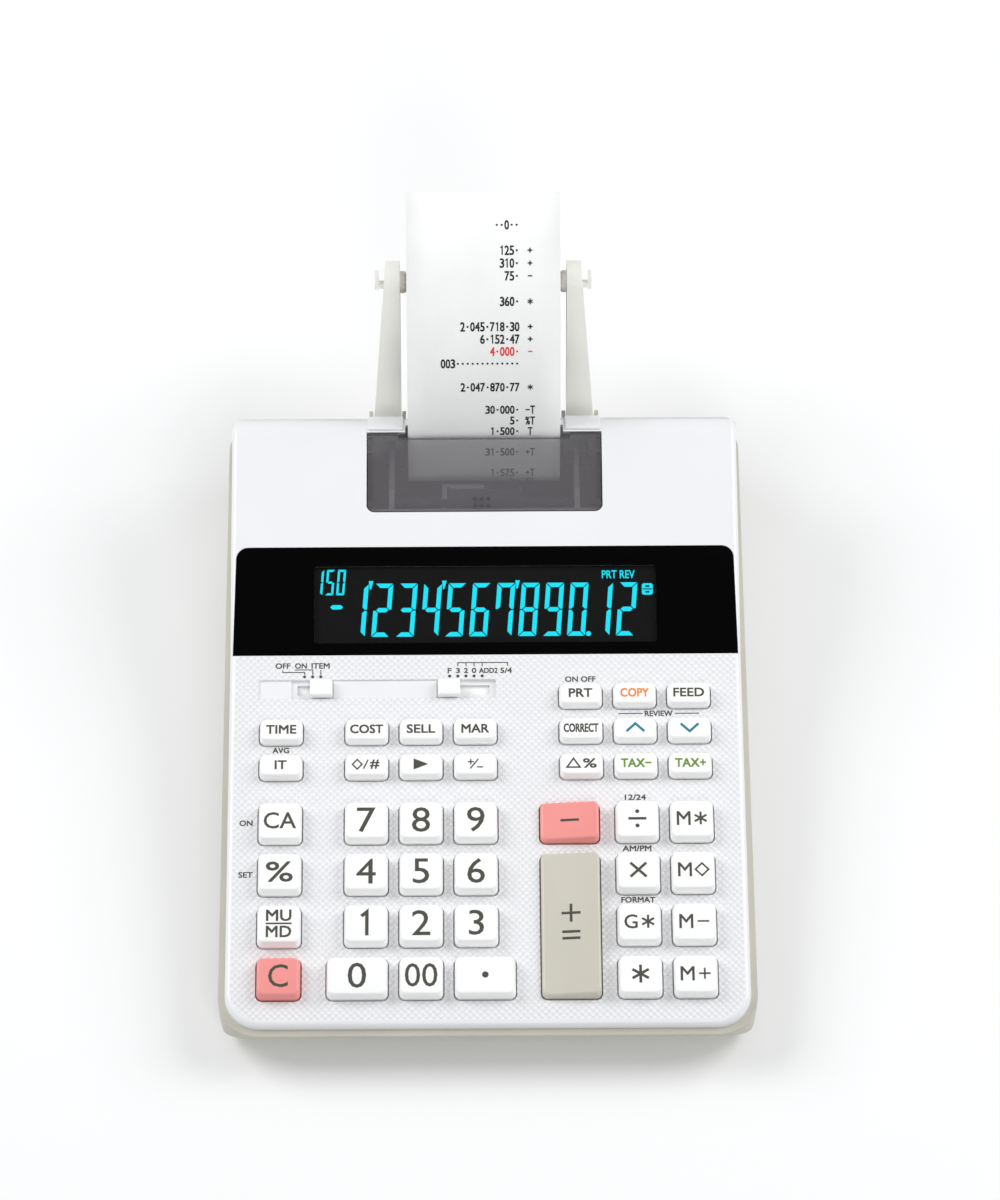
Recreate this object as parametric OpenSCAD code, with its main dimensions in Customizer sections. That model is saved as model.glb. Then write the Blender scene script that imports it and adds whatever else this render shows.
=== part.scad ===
// Desk calculator with a paper-tape printer, in millimetres.
// +X is to the right of the user, +Y to the back, +Z up, and the feet stand on z = 0.

/* [Case] */
// Width of the lower case
case_w = 195; // [185:0.5:210]
// Length of the lower case, front rim to rear rim
case_len = 252; // [236:0.5:262]
// Corner radius of the lower case, seen from above
case_corner_r = 15; // [12:0.5:20]
// Height of the front rim above the table
rim_z = 17.5; // [16.5:0.25:20]
// Slope of the plane where the two shells meet, in degrees
part_tilt = 4; // [3.6:0.1:4.4]
// Width of the rim left showing round the upper shell
ledge = 2.5; // [2:0.25:3.5]
// Wall thickness of both shells
wall = 2.2; // [1.8:0.1:2.6]
// Height of the locating tongue inside the joint
tongue_h = 1.6; // [1:0.2:2.4]
// Thickness of the locating tongue
tongue_t = 1.2; // [0.8:0.1:1.6]
// Distance from the upper shell's rear edge to the rear rim
rear_ledge = 10.7; // [10.4:0.1:11.5]

/* [Feet] */
// Radius of a rubber foot
foot_r = 6; // [4:0.5:8]
// Height that a foot stands proud of the case
foot_h = 2; // [1.5:0.25:3]

/* [Upper shell] */
// Height of the front lip above the rim
lip_h = 3.3; // [2.5:0.1:4.5]
// Slope of the keyboard, in degrees
key_tilt = 7.3; // [6.8:0.1:8]
// Slope of the display, in degrees
panel_tilt = 18; // [16:0.5:20]
// Length of the display face along its slope
panel_len = 41.4; // [40:0.2:44]
// Slope of the printer deck, in degrees
deck_tilt = 13; // [12:0.5:15]
// Length of the printer deck along its slope
deck_len = 44.5; // [43.5:0.5:46]
// Radius of the rolled rear edge
rear_roll_r = 10; // [8:0.5:12]
// Radius of the rear corners, seen from above
rear_corner_r = 6; // [4:0.5:8]
// Radius along the top side edges
edge_r = 2; // [1:0.25:2.4]

/* [Keys] */
// Distance between neighbouring columns, as a share of the case's width
column_share = 0.1026; // [0.1:0.0002:0.1034]
// Distance between large rows, as a share of the keyboard's length
row_share = 0.138; // [0.134:0.0005:0.1395]
// Distance between small rows, as a share of the keyboard's length
small_row_share = 0.0969; // [0.094:0.0005:0.098]
// Centre of the first row, as a share of the keyboard's length
first_row_share = 0.1186; // [0.105:0.0005:0.12]
// Gap between the large and small rows, centre to centre, as a share of the keyboard's length
gap_share = 0.1531; // [0.146:0.0005:0.156]
// Width of a key, as a share of the column distance
width_share = 0.79; // [0.72:0.005:0.8]
// Depth of a large key, as a share of the row distance
depth_share = 0.76; // [0.7:0.005:0.78]
// Depth of a small key, as a share of the small row distance
small_depth_share = 0.655; // [0.6:0.005:0.7]
// Height of a large key above the shell
key_h = 4.5; // [3.5:0.25:5.5]
// Height of a small key above the shell
small_h = 3.8; // [3.2:0.2:4.6]
// Rise of the plus and minus key tops, left to right
operator_rise = 2.4; // [0:0.2:3]
// Travel of a key
key_travel = 2.5; // [1.5:0.25:2.75]
// Gap round a key in the shell
key_gap = 0.5; // [0.4:0.05:0.7]
// Corner radius of a key
key_r = 2; // [1:0.25:2.5]

/* [Slide switches] */
// Width of a switch knob
knob_w = 8.4; // [7:0.2:9.5]
// Depth of a switch knob
knob_d = 6.6; // [5.5:0.1:7.2]
// Height of a switch knob above the shell
knob_h = 2.6; // [2:0.2:3.4]
// Depth of the long channel behind the keys
channel_deep = 0.6; // [0.4:0.1:0.8]
// Depth of the beds that the knobs slide in
bed_deep = 1.3; // [1:0.1:1.4]
// Width of the channel, front to back
channel_d = 7.6; // [7.4:0.1:7.8]
// Travel of the printer switch, to the left
item_travel = 6.4; // [5:0.2:8]
// Travel of the decimal switch, to the right
decimal_travel = 12.6; // [10:0.2:13]

/* [Display] */
// Thickness of the display window
window_t = 1.5; // [1:0.1:1.6]
// White margin beside the window at its front edge
window_side = 1.1; // [0.8:0.1:2]
// How much narrower each side of the window is at its rear edge
window_taper = 1; // [0:0.1:2]
// Width of the viewing area
lcd_w = 128; // [110:1:134]
// Depth of the viewing area
lcd_d = 29.5; // [24:0.5:31]
// Start of the viewing area from the window's front edge
lcd_from = 4.6; // [4:0.2:5.5]

/* [Printer] */
// Width of the smoked cover
lid_w = 87.8; // [84:0.2:90]
// Start of the smoked cover from the deck's front edge
lid_from = 14.3; // [13.5:0.1:16]
// Thickness of the smoked cover
lid_t = 2; // [1.6:0.1:2.4]
// Width of the paper
paper_w = 57.5; // [56:0.5:58]
// Radius of the platen
platen_r = 7; // [6:0.25:7.25]
// Radius of the platen shaft
shaft_r = 2; // [1.5:0.25:2.5]
// Number of teeth on the platen gear
gear_teeth = 24; // [16:4:28]
// Radius of the ink roller
ink_r = 5.5; // [4.5:0.25:6]

/* [Paper roll] */
// Outer radius of the roll
roll_r = 22; // [16:0.5:23]
// Radius of the spindles that carry the roll
spindle_r = 3.8; // [3:0.1:4.5]
// Length of an arm, pivot to spindle
arm_len = 57; // [54:0.5:60]
// Lean of the raised arms above the horizontal, in degrees
arm_lean = 55; // [50:1:58]
// Width of an arm at its foot
arm_foot_w = 10.5; // [9:0.5:12]
// Width of an arm at its tip
arm_tip_w = 5.4; // [4.5:0.1:7]
// Height of the arm pivot above the rear rim
pivot_up = 7.4; // [7:0.2:8.5]
// Radius of an arm pivot pin
pivot_r = 2.4; // [1.8:0.1:2.8]
// Length of the paper strip standing above the tear edge
strip_len = 92.5; // [60:0.5:110]
// Radius that the free strip curls to
strip_curl = 112; // [100:1:160]

/* [Adaptor socket] */
// Radius of the socket's bore
socket_r = 2.75; // [2:0.05:3.2]
// Depth of the socket's bore
socket_deep = 10; // [8:0.5:12]
// Distance of the socket from the centre line
socket_x = 62; // [55:1:75]

/* [Hidden] */
$fn = 48;
eps = 0.1;
fit = 0.06;          // radial clearance of a pin that turns in its bore
seat = 0.15;         // gap round a piece that is set into a recess
far = 400;           // longer than anything it cuts

// ---- the line of the joint between the shells, and the upper shell's side profile
function rim_at(y) = rim_z + y * tan(part_tilt);
function along(p, a, d) = [p[0] + d * cos(a), p[1] + d * sin(a)];
function arc(c, r, a0, a1, n) = [for (i = [0:n]) along(c, a0 + (a1 - a0) * i / n, r)];

cover_w = case_w - 2 * ledge;
cover_back = case_len - rear_ledge;
// the keyboard takes the length that the display and printer leave
key_len = (cover_back - ledge - rear_roll_r * (1 + sin(deck_tilt)) - deck_len * cos(deck_tilt)
  - panel_len * cos(panel_tilt)) / cos(key_tilt);
key_start = [ledge, rim_at(ledge) + lip_h];
panel_start = along(key_start, key_tilt, key_len);
deck_start = along(panel_start, panel_tilt, panel_len);
deck_end = along(deck_start, deck_tilt, deck_len);
roll_centre = along(deck_end, deck_tilt - 90, rear_roll_r);
lip_r = 2.6;         // rounding of the front lip

// ---- where the tape runs
paper_t = 0.3;
lead = 68;           // slope at which the strip leaves the printer
lid_back = deck_len + 0.7;             // rear edge of the cover's ears
tear_back = deck_len - 1;              // its tear edge between them
exit_gap = 3.2;                        // from the tear edge to the strip
exit_up = 0.7;                         // height of the strip's first bend above the deck
lead_len = 20;                         // from the platen to that bend
exit_s = tear_back + exit_gap;         // where the strip passes the deck
exit = along(along(deck_start, deck_tilt, exit_s), deck_tilt + 90, exit_up);
leave = along(exit, lead + 180, lead_len);
tape_gap = 0.12;                       // between the tape and what it runs on
wrap_r = platen_r + paper_t / 2 + tape_gap;
platen = along(leave, lead - 90, wrap_r);
inlet = [cover_back + 1.5, rim_at(cover_back) + 5.4];
slot_h = 4.4;

// ---- roll holder
ear_t = 1.4;
ear_gap = 0.35;
arm_in = paper_w / 2 + 2.75;           // inner face of an arm
arm_out = arm_in + arm_foot_w;
foot_arm_r = 5.5;
tip_arm_r = 8;
ear_r = 4.4;
pivot = [cover_back + foot_arm_r + 1.7, rim_at(case_len) + pivot_up - 0.6];
hub = along(pivot, arm_lean, arm_len);
roll_gap = 0.9;                        // gap from an arm's shoulder to the roll

// ---- the row's origin is under the middle of the part's box
mid_y = (hub[0] + roll_r) / 2;

// ---- keys
key_pitch = case_w * column_share;
row_pitch = key_len * row_share;
small_pitch = key_len * small_row_share;
key_w = key_pitch * width_share;
key_d = row_pitch * depth_share;
small_d = small_pitch * small_depth_share;
wide_share = 0.31;                     // extra width of the zero and decimal point keys, in columns
operator_share = 1.075;                // width of the plus and minus keys, in columns
wide_extra = key_pitch * wide_share;
operator_w = key_pitch * operator_share;
// middles across the keyboard, in columns from the centre line
digits_col = -2.2;                     // the first column of digits
left_col = -3.775;                     // the left-hand column
right_col = 1.75;                      // the first right-hand column of small keys
operator_col = 1.515;                  // the plus and minus keys
digits_x = digits_col * key_pitch;
left_x = left_col * key_pitch;
right_x = right_col * key_pitch;
operator_x = operator_col * key_pitch;
skirt = 1.2;         // height of a cap's upright foot above the shell
side_in = 0.6;
rear_in = 0.5;
front_in = 1;
cap_wall = 1.1;
cap_hollow = 2.4;    // depth of the hollow under a cap
stem = [4, 3];       // section of the stem that presses the dome
flange_w = 0.9;      // how far a key's flange reaches past its hole
flange_t = 1;
flange_drop = 0.3;   // gap between the flange and the shell above it
flange_top = -wall - flange_drop;
flange_bottom = flange_top - flange_t;
plunger_end = flange_bottom - 0.6;
dome_top = plunger_end - key_travel - 0.2;
dome_h = 0.6;
mat_t = 1;
board_t = 1.6;
mat_top = dome_top - dome_h;
board_top = mat_top - mat_t;

function digit_x(i) = digits_x + i * key_pitch;
function right_at(i) = right_x + i * key_pitch;
function row(i) = key_len * first_row_share + i * row_pitch;
function small_row(i) = row(3) + key_len * gap_share + i * small_pitch;

large = [key_w, key_d, key_h];
small = [key_w, small_d, small_h];
wide = [key_w + wide_extra, key_d, key_h];
tall = [operator_w, key_d + 2 * row_pitch, key_h - operator_rise];
minus = [operator_w, key_d, key_h - operator_rise];

white = [0.95, 0.95, 0.95];
pink = [0.98, 0.6, 0.58];
beige = [0.8, 0.79, 0.74];
dark = [0.2, 0.2, 0.22];

// name, centre across, centre up the keyboard, size, colour, rise of the top
keys = concat(
  [for (i = [0:8]) [["key_one", "key_two", "key_three", "key_four", "key_five", "key_six",
    "key_seven", "key_eight", "key_nine"][i], digit_x(i % 3), row(1 + floor(i / 3)), large, white, 0]],
  [["key_zero", digit_x(0) - wide_extra / 2, row(0), wide, white, 0],
   ["key_double_zero", digit_x(1), row(0), large, white, 0],
   ["key_decimal_point", digit_x(2) + wide_extra / 2, row(0), wide, white, 0],
   ["key_clear", left_x, row(0), large, pink, 0],
   ["key_markup", left_x, row(1), large, white, 0],
   ["key_percent", left_x, row(2), large, white, 0],
   ["key_clear_all", left_x, row(3), large, white, 0],
   ["key_item_total", left_x, small_row(0), small, white, 0],
   ["key_time", left_x, small_row(1), small, white, 0],
   ["key_plus_equals", operator_x, row(1), tall, beige, operator_rise],
   ["key_minus", operator_x, row(3), minus, pink, operator_rise]],
  [for (i = [0:3]) [["key_total", "key_grand_total", "key_multiply", "key_divide"][i],
    right_at(1), row(i), large, white, 0]],
  [for (i = [0:3]) [["key_memory_plus", "key_memory_minus", "key_memory_subtotal",
    "key_memory_total"][i], right_at(2), row(i), large, white, 0]],
  [for (i = [0:2]) [["key_non_add", "key_backspace", "key_sign_change"][i],
    digit_x(i), small_row(0), small, white, 0]],
  [for (i = [0:2]) [["key_cost", "key_sell", "key_margin"][i],
    digit_x(i), small_row(1), small, white, 0]],
  [for (i = [0:8]) [["key_delta_percent", "key_tax_minus", "key_tax_plus", "key_correct",
    "key_review_up", "key_review_down", "key_print", "key_copy", "key_paper_feed"][i],
    right_at(i % 3), small_row(floor(i / 3)), small, white, 0]]
);

// ---- places for the fastening towers and the board's posts
tower_r = 3.2;
tower_x = cover_w / 2 - wall - tower_r - 0.6;
tower_y = [16, 122, cover_back - 14];
screw_r = 1.4;       // clearance for a screw's shank
thread_r = 1.1;      // bore that a screw cuts its thread in
screw_head_r = 2.5;
screw_head_deep = 5; // how far a head lies above the case's underside
post_r = 2.2;
post_x = [(left_x + digit_x(0) - wide_extra) / 2,
  (digit_x(2) + key_w / 2 + wide_extra + operator_x - operator_w / 2) / 2];
post_s = [row(0) - 5.2, row(2) + row_pitch / 2, small_row(1) + small_pitch / 2];
board_w = 2 * (tower_x - tower_r - 0.6);
board_from = 7;
board_to = key_len - 6;
// ---- switch channel
channel_behind = 3.8;                  // how far its middle lies behind the last small row's
channel_s = small_row(2) + channel_behind;
// its ends and the knobs at rest, in columns from the centre line
channel_cols = [-4.21, 0.185];
item_col = -3.05;
decimal_col = -0.68;
channel_left = channel_cols[0] * key_pitch;
channel_right = channel_cols[1] * key_pitch;
item_x = item_col * key_pitch;
decimal_x = decimal_col * key_pitch;
bed_gap = 0.5;       // gap between a knob's end and its bed's

// ---- printer
bay_gap = 0.4;
bay_w = lid_w + 2 * bay_gap;
bay_deep = 14;       // depth kept open under the shell for the cover's ears and the tape
lid_rest = 1.6;      // how far the cover's front edge rests on its shelf
plate_t = 2;
plate_x = paper_w / 2 + 5.2;           // inner face of a printer side plate
rod_r = 1.5;         // the tie rods and the ink roller's shaft
lid_pivot = [lid_back - 2.9, -1.9];
lid_pin_r = 1;
// room behind the lid's ears for their top edge as they turn
swing_gap = norm([lid_back - lid_pivot[0], lid_pivot[1]]) - (lid_back - lid_pivot[0]) + 0.2;
ink = along(along(deck_start, deck_tilt, lid_from + 6.5), deck_tilt - 90, lid_t + ink_r + 2.2);
frame_y = [ink[0] - 10, cover_back - wall - seat - tongue_t - 0.6];
floor_z = foot_h + wall;

// ---- helpers
module place() translate([0, -mid_y, 0]) children();
module key_frame() translate([0, key_start[0], key_start[1]]) rotate([key_tilt, 0, 0]) children();
module panel_frame() translate([0, panel_start[0], panel_start[1]]) rotate([panel_tilt, 0, 0]) children();
module deck_frame() translate([0, deck_start[0], deck_start[1]]) rotate([deck_tilt, 0, 0]) children();

// a Y-Z outline drawn across the part, from x0 to x1
module across(x0, x1) translate([x0, 0, 0]) rotate([90, 0, 90]) linear_extrude(height = x1 - x0) children();

// a round bar along X between x0 and x1, through the point p = [y, z]
module bar(p, r, x0, x1) translate([x0, p[0], p[1]]) rotate([0, 90, 0]) cylinder(r = r, h = x1 - x0);

module both_sides() {
  children();
  mirror([1, 0, 0]) children();
}

// a rectangle with round corners, centred
module rounded(w, d, r) {
  square([w, d - 2 * r], center = true);
  square([w - 2 * r, d], center = true);
  for (x = [-1, 1], y = [-1, 1])
    translate([x * (w / 2 - r), y * (d / 2 - r)]) circle(r = r);
}

// a case outline seen from above, with its own front and rear corner radii
module outline(w, y0, y1, rf, rr) {
  h = w / 2;
  polygon([[rf - h, y0], [h - rf, y0], [h, y0 + rf], [h, y1 - rr],
    [h - rr, y1], [rr - h, y1], [-h, y1 - rr], [-h, y0 + rf]]);
  for (x = [-1, 1]) {
    translate([x * (h - rf), y0 + rf]) circle(r = rf);
    translate([x * (h - rr), y1 - rr]) circle(r = rr);
  }
}

// ---- lower case
rim_t = 2;           // upright edge of the rim
belly_y = 11;        // how far the front slopes in below the rim
belly_x = 3.4;       // how far the sides do

// side view of the lower case; up raises its open top
module case_side(up) polygon(concat(
  [[0, rim_at(0) + up], [0, rim_z - rim_t], [belly_y * 0.42, rim_z - 8.6], [belly_y, foot_h],
   [case_len - 8, foot_h], [case_len - 2, foot_h + 3], [case_len, foot_h + 10]],
  [[case_len, rim_at(case_len) + up]]));

// front view of the lower case
module case_front() polygon([[-case_w / 2, far], [-case_w / 2, rim_z - rim_t - 3],
  [-case_w / 2 + 1, foot_h + 5],
  [-case_w / 2 + belly_x, foot_h], [case_w / 2 - belly_x, foot_h], [case_w / 2 - 1, foot_h + 5],
  [case_w / 2, rim_z - rim_t - 3], [case_w / 2, far]]);

module case_body(d, up) intersection() {
  linear_extrude(height = far) outline(case_w - 2 * d, d, case_len - d, case_corner_r - d, 11 - d);
  across(-case_w / 2 - 1, case_w / 2 + 1) offset(delta = -d) case_side(up);
  translate([0, case_len + 5, 0]) rotate([90, 0, 0])
    linear_extrude(height = case_len + 10) offset(delta = -d) case_front();
}

// the band of the side view between two heights above the joint
module rim_band(low, high) across(-far, far) polygon([[-5, rim_at(-5) + low],
  [case_len + 5, rim_at(case_len + 5) + low], [case_len + 5, rim_at(case_len + 5) + high],
  [-5, rim_at(-5) + high]]);

// what lies inside the tongue, seen from above
module tongue_core() {
  in = ledge + wall + seat + tongue_t;
  linear_extrude(height = far) outline(case_w - 2 * in, in, cover_back + ledge - in, case_corner_r - in,
    rear_corner_r + ledge - in);
}

module rim_shelf() {
  intersection() {
    case_body(0, 0);
    rim_band(-2.4, 0);
    difference() {
      linear_extrude(height = far) outline(case_w + 2, -1, case_len + 1, case_corner_r, 11);
      tongue_core();
    }
  }
  intersection() {
    rim_band(-2.4, tongue_h);
    difference() {
      cover_body(wall + seat, 30);
      tongue_core();
    }
  }
}

// an ear that carries one end of an arm's pivot pin
module ear(x0) across(x0, x0 + ear_t) {
  translate(pivot) circle(r = ear_r);
  polygon([[pivot[0] - ear_r, pivot[1]], [pivot[0] - ear_r, rim_at(pivot[0]) - 1],
    [case_len - 1, rim_z - 2], [pivot[0] + ear_r, rim_at(case_len) - 3], [pivot[0] + ear_r, pivot[1]]]);
}

module tower(y) {
  top = rim_at(y) - 1;
  translate([tower_x, y, foot_h]) cylinder(r = tower_r, h = top - foot_h);
}

module bottom_case() color(beige) place() difference() {
  union() {
    difference() {
      case_body(0, 0);
      case_body(wall, far);
    }
    rim_shelf();
    both_sides() {
      intersection() {
        for (y = tower_y) tower(y);
        case_body(0, 0);
      }
      ear(arm_in - ear_gap - ear_t);
      ear(arm_out + ear_gap);
    }
    translate([socket_x - 6, case_len - wall - socket_deep + 1, rim_z - 6]) cube([12, socket_deep, 12]);
  }
  both_sides() {
    for (y = tower_y) translate([tower_x, y, 0]) {
      cylinder(r = screw_r, h = far);
      cylinder(r = screw_head_r, h = foot_h + screw_head_deep);
      translate([0, 0, rim_at(y) - 1]) cylinder(r = tower_r + 0.3, h = far);
    }
    bar(pivot, pivot_r + fit, arm_in - 5, arm_out + 5);
    for (y = foot_y) translate([foot_x, y, 0]) cylinder(r = foot_r + seat, h = foot_h + foot_sink);
  }
  translate([socket_x, case_len + 1, rim_z]) rotate([90, 0, 0]) cylinder(r = socket_r, h = socket_deep + 1);
}

// ---- rubber feet
foot_sink = 0.6;
foot_x = case_w / 2 - 20;
foot_y = [28, case_len - 24];

module rubber_feet() color(dark) place() both_sides() for (y = foot_y)
  translate([foot_x, y, 0]) cylinder(r = foot_r, h = foot_h + foot_sink);

// ---- upper shell
module cover_side(drop) polygon(concat(
  [[key_start[0], rim_at(key_start[0]) - drop]],
  arc([key_start[0] + lip_r, key_start[1] - lip_r + 0.45], lip_r, 180, 90 + key_tilt, 4),
  [panel_start, deck_start],
  arc(roll_centre, rear_roll_r, 90 + deck_tilt, 0, 10),
  [[cover_back, rim_at(cover_back) - drop]]));

module cover_body(d, drop) intersection() {
  linear_extrude(height = far)
    outline(cover_w - 2 * d, ledge + d, cover_back - d, case_corner_r - ledge - d, rear_corner_r - d);
  across(-cover_w / 2 - 1, cover_w / 2 + 1) offset(delta = -d) cover_side(drop);
}

// what rounds a top side edge over a length
module edge_cut(len) translate([cover_w / 2 - edge_r, 0, -edge_r]) rotate([-90, 0, 0]) mirror([0, 1, 0])
  translate([0, 0, -1]) linear_extrude(height = len + 2) difference() {
    square([edge_r + 1, edge_r + 1]);
    circle(r = edge_r);
  }

// the raised blocks behind the smoked cover, either side of the strip
module rear_block() intersection() {
  across(arm_in - 1, lid_w / 2) offset(delta = 0.8) cover_side(0);
  translate([0, deck_end[0] + 2.2, roll_centre[1] + 2]) cube([far, rear_roll_r, rear_roll_r + 3]);
}

module key_holes() key_frame() for (k = keys) translate([k[1], k[2], -wall - 2])
  linear_extrude(height = wall + 4) rounded(k[3][0] + 2 * key_gap, k[3][1] + 2 * key_gap, key_r + key_gap);

neck_w = 4;
neck_d = 3.2;
neck_gap = 0.4;
module knob_slot(from, to)
  translate([from - neck_w / 2 - neck_gap, channel_s - neck_d / 2 - neck_gap, -wall - 1])
  cube([to - from + neck_w + 2 * neck_gap, neck_d + 2 * neck_gap, wall + 2]);

module knob_bed(from, to) {
  end = knob_w / 2 + bed_gap;
  translate([from - end, channel_s - knob_d / 2 - 0.3, -bed_deep])
    cube([to - from + 2 * end, knob_d + 0.6, bed_deep + 1]);
  knob_slot(from, to);
}

module switch_channel() key_frame() {
  translate([channel_left, channel_s - channel_d / 2, -channel_deep])
    cube([channel_right - channel_left, channel_d, channel_deep + 1]);
  knob_bed(item_x - item_travel, item_x);
  knob_bed(decimal_x, decimal_x + decimal_travel);
}

// the window's outline; grow is its recess's gap
window_front = cover_w / 2 - window_side;
window_rear = window_front - window_taper;
window_r = 4.5;
module window_outline(grow) polygon(concat(
  [[-window_front - grow, 0], [window_front + grow, 0]],
  arc([window_rear - window_r, panel_len - window_r], window_r + grow, 0, 90, 6),
  arc([-window_rear + window_r, panel_len - window_r], window_r + grow, 90, 180, 6)));

module top_cover() color(white) place() difference() {
  union() {
    difference() {
      cover_body(0, 0);
      cover_body(wall, 30);
      both_sides() {
        key_frame() edge_cut(key_len);
        deck_frame() edge_cut(deck_len);
      }
    }
    both_sides() {
      rear_block();
      intersection() {
        for (y = tower_y) translate([tower_x, y, rim_at(y) - 0.9]) cylinder(r = tower_r, h = far);
        cover_body(0, 0);
      }
      deck_frame() translate([bay_w / 2, lid_pivot[0] - 3, lid_pivot[1] - 2.6]) cube([3.5, 6.4, 3.6]);
    }
    key_frame() for (x = post_x, s = post_s)
      translate([x, s, board_top]) cylinder(r = post_r, h = -board_top - 1);
    deck_frame() translate([-bay_w / 2 - 2, lid_from - bay_gap - 1.5, -lid_t - 1.5]) cube([bay_w + 4, 3, 1.4]);
    deck_frame() translate([-bay_w / 2 - 2, lid_from - bay_gap - 2.5, -lid_t - 1.5])
      cube([bay_w + 4, 2.4, lid_t + 0.5]);
  }
  key_holes();
  switch_channel();
  panel_frame() translate([0, 0, -window_t]) linear_extrude(height = window_t + 3) window_outline(seat);
  panel_frame() translate([-lcd_w / 2 - 1, lcd_from - 1, -wall - 2]) cube([lcd_w + 2, lcd_d + 2, wall + 3]);
  deck_frame() translate([-bay_w / 2, lid_from - bay_gap, -lid_t - eps])
    cube([bay_w, lid_back + swing_gap - lid_from + bay_gap, far]);
  deck_frame() translate([-bay_w / 2, lid_from + lid_rest, -wall - bay_deep])
    cube([bay_w, lid_back + swing_gap - lid_from - lid_rest, wall + bay_deep + 2]);
  deck_frame() translate([-paper_w / 2 - 1, exit_s - 4, -wall - bay_deep])
    cube([paper_w + 2, 6.4, wall + bay_deep + 4]);
  across(-paper_w / 2 - 0.6, paper_w / 2 + 0.6) polygon([[cover_back - wall - 2, inlet[1] - slot_h / 2],
    [cover_back + 2, inlet[1] - slot_h / 2], [cover_back + 2, inlet[1] + slot_h / 2],
    [cover_back - wall - 2, inlet[1] + slot_h / 2]]);
  both_sides() for (y = tower_y) translate([tower_x, y, 0]) cylinder(r = thread_r, h = rim_at(y) + 3);
  deck_frame() bar(lid_pivot, lid_pin_r + fit, -bay_w / 2 - 3, bay_w / 2 + 3);
}

// ---- display
module display_window() color([0.03, 0.03, 0.04]) place() panel_frame()
  translate([0, 0, -window_t]) linear_extrude(height = window_t) window_outline(0);

module lcd_module() color([0.15, 0.16, 0.16]) place() panel_frame() {
  translate([-lcd_w / 2 - 3, lcd_from - 3, -wall - 3]) cube([lcd_w + 6, lcd_d + 6, 3]);
  translate([-lcd_w / 2, lcd_from, -wall - 0.4]) cube([lcd_w, lcd_d, wall + 0.3 - window_t]);
}

// ---- printer cover, hinged at its rear ears
module lid_outline() {
  half = lid_w / 2;
  r = 2.6;
  ear_w = 11.5;
  polygon([[-half, lid_from + r], [-half, lid_back], [-half + ear_w, lid_back], [-half + ear_w, tear_back],
    [half - ear_w, tear_back], [half - ear_w, lid_back], [half, lid_back], [half, lid_from + r],
    [half - r, lid_from], [-half + r, lid_from]]);
  for (x = [-1, 1]) translate([x * (half - r), lid_from + r]) circle(r = r);
}

module printer_cover() color([0.3, 0.29, 0.31, 0.8]) place() deck_frame() {
  translate([0, 0, -lid_t]) linear_extrude(height = lid_t) lid_outline();
  both_sides() {
    translate([lid_w / 2 - 1.6, lid_from + 5, -lid_t - 2]) cube([1.6, lid_back - lid_from - 12, 2.5]);
    translate([lid_w / 2 - 1.6, lid_pivot[0] - 2.2, lid_pivot[1] - 2]) cube([1.6, 4.4, 2.6]);
    bar(lid_pivot, lid_pin_r, lid_w / 2 - 1, lid_w / 2 + 2.6);
  }
  for (x = [-1:1], y = [0, 1])
    translate([x * 2.5 - 1, lid_from + 2.2 + y * 2.6, 0]) cylinder(r = 0.7, h = 0.35);
}

// ---- keyboard inside
module key_board() color([0.1, 0.35, 0.2]) place() key_frame() difference() {
  translate([-board_w / 2, board_from, board_top - board_t]) cube([board_w, board_to - board_from, board_t]);
  for (x = post_x, s = post_s)
    translate([x, s, board_top - board_t - 1]) cylinder(r = thread_r, h = board_t + 2);
}

module key_mat() color([0.75, 0.75, 0.73]) place() key_frame() {
  difference() {
    translate([-board_w / 2 + 1, board_from + 1, board_top])
      cube([board_w - 2, small_row(2) + small_d / 2 - board_from + 0.6, mat_t]);
    for (x = post_x, s = post_s) translate([x, s, board_top - 1]) cylinder(r = post_r + 0.4, h = mat_t + 2);
  }
  for (k = keys) translate([k[1], k[2], mat_top]) cylinder(r = 3, h = dome_h);
}

// ---- keys
module cap_solid(size, rise) {
  w = size[0];
  d = size[1];
  h = size[2];
  top = h + rise + 2;
  intersection() {
    translate([0, 0, flange_bottom]) linear_extrude(height = top - flange_bottom) rounded(w, d, key_r);
    rotate([90, 0, 0]) linear_extrude(height = d + 2, center = true)
      polygon([[-w / 2, flange_bottom], [w / 2, flange_bottom], [w / 2, skirt], [w / 2 - side_in, h + rise],
        [-w / 2 + side_in, h], [-w / 2, min(skirt, h - 0.5)]]);
    across(-w / 2 - 1, w / 2 + 1)
      polygon([[-d / 2, flange_bottom], [d / 2, flange_bottom], [d / 2, skirt], [d / 2 - rear_in, top],
        [-d / 2 + front_in, top], [-d / 2, skirt]]);
  }
}

module key(k) {
  w = k[3][0];
  d = k[3][1];
  h = k[3][2];
  reach = 2 * (key_gap + flange_w);
  color(k[4]) place() key_frame() translate([k[1], k[2], 0]) {
    difference() {
      union() {
        cap_solid(k[3], k[5]);
        translate([-(w + reach) / 2, -(d + reach) / 2, flange_bottom]) cube([w + reach, d + reach, flange_t]);
      }
      translate([-w / 2 + cap_wall + side_in, -d / 2 + cap_wall + front_in, flange_bottom - 1])
        cube([w - 2 * cap_wall - 2 * side_in, d - 2 * cap_wall - front_in - rear_in, cap_hollow + 1]);
    }
    translate([-stem[0] / 2, -stem[1] / 2, plunger_end])
      cube([stem[0], stem[1], flange_bottom + cap_hollow + eps - plunger_end]);
  }
}

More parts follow.
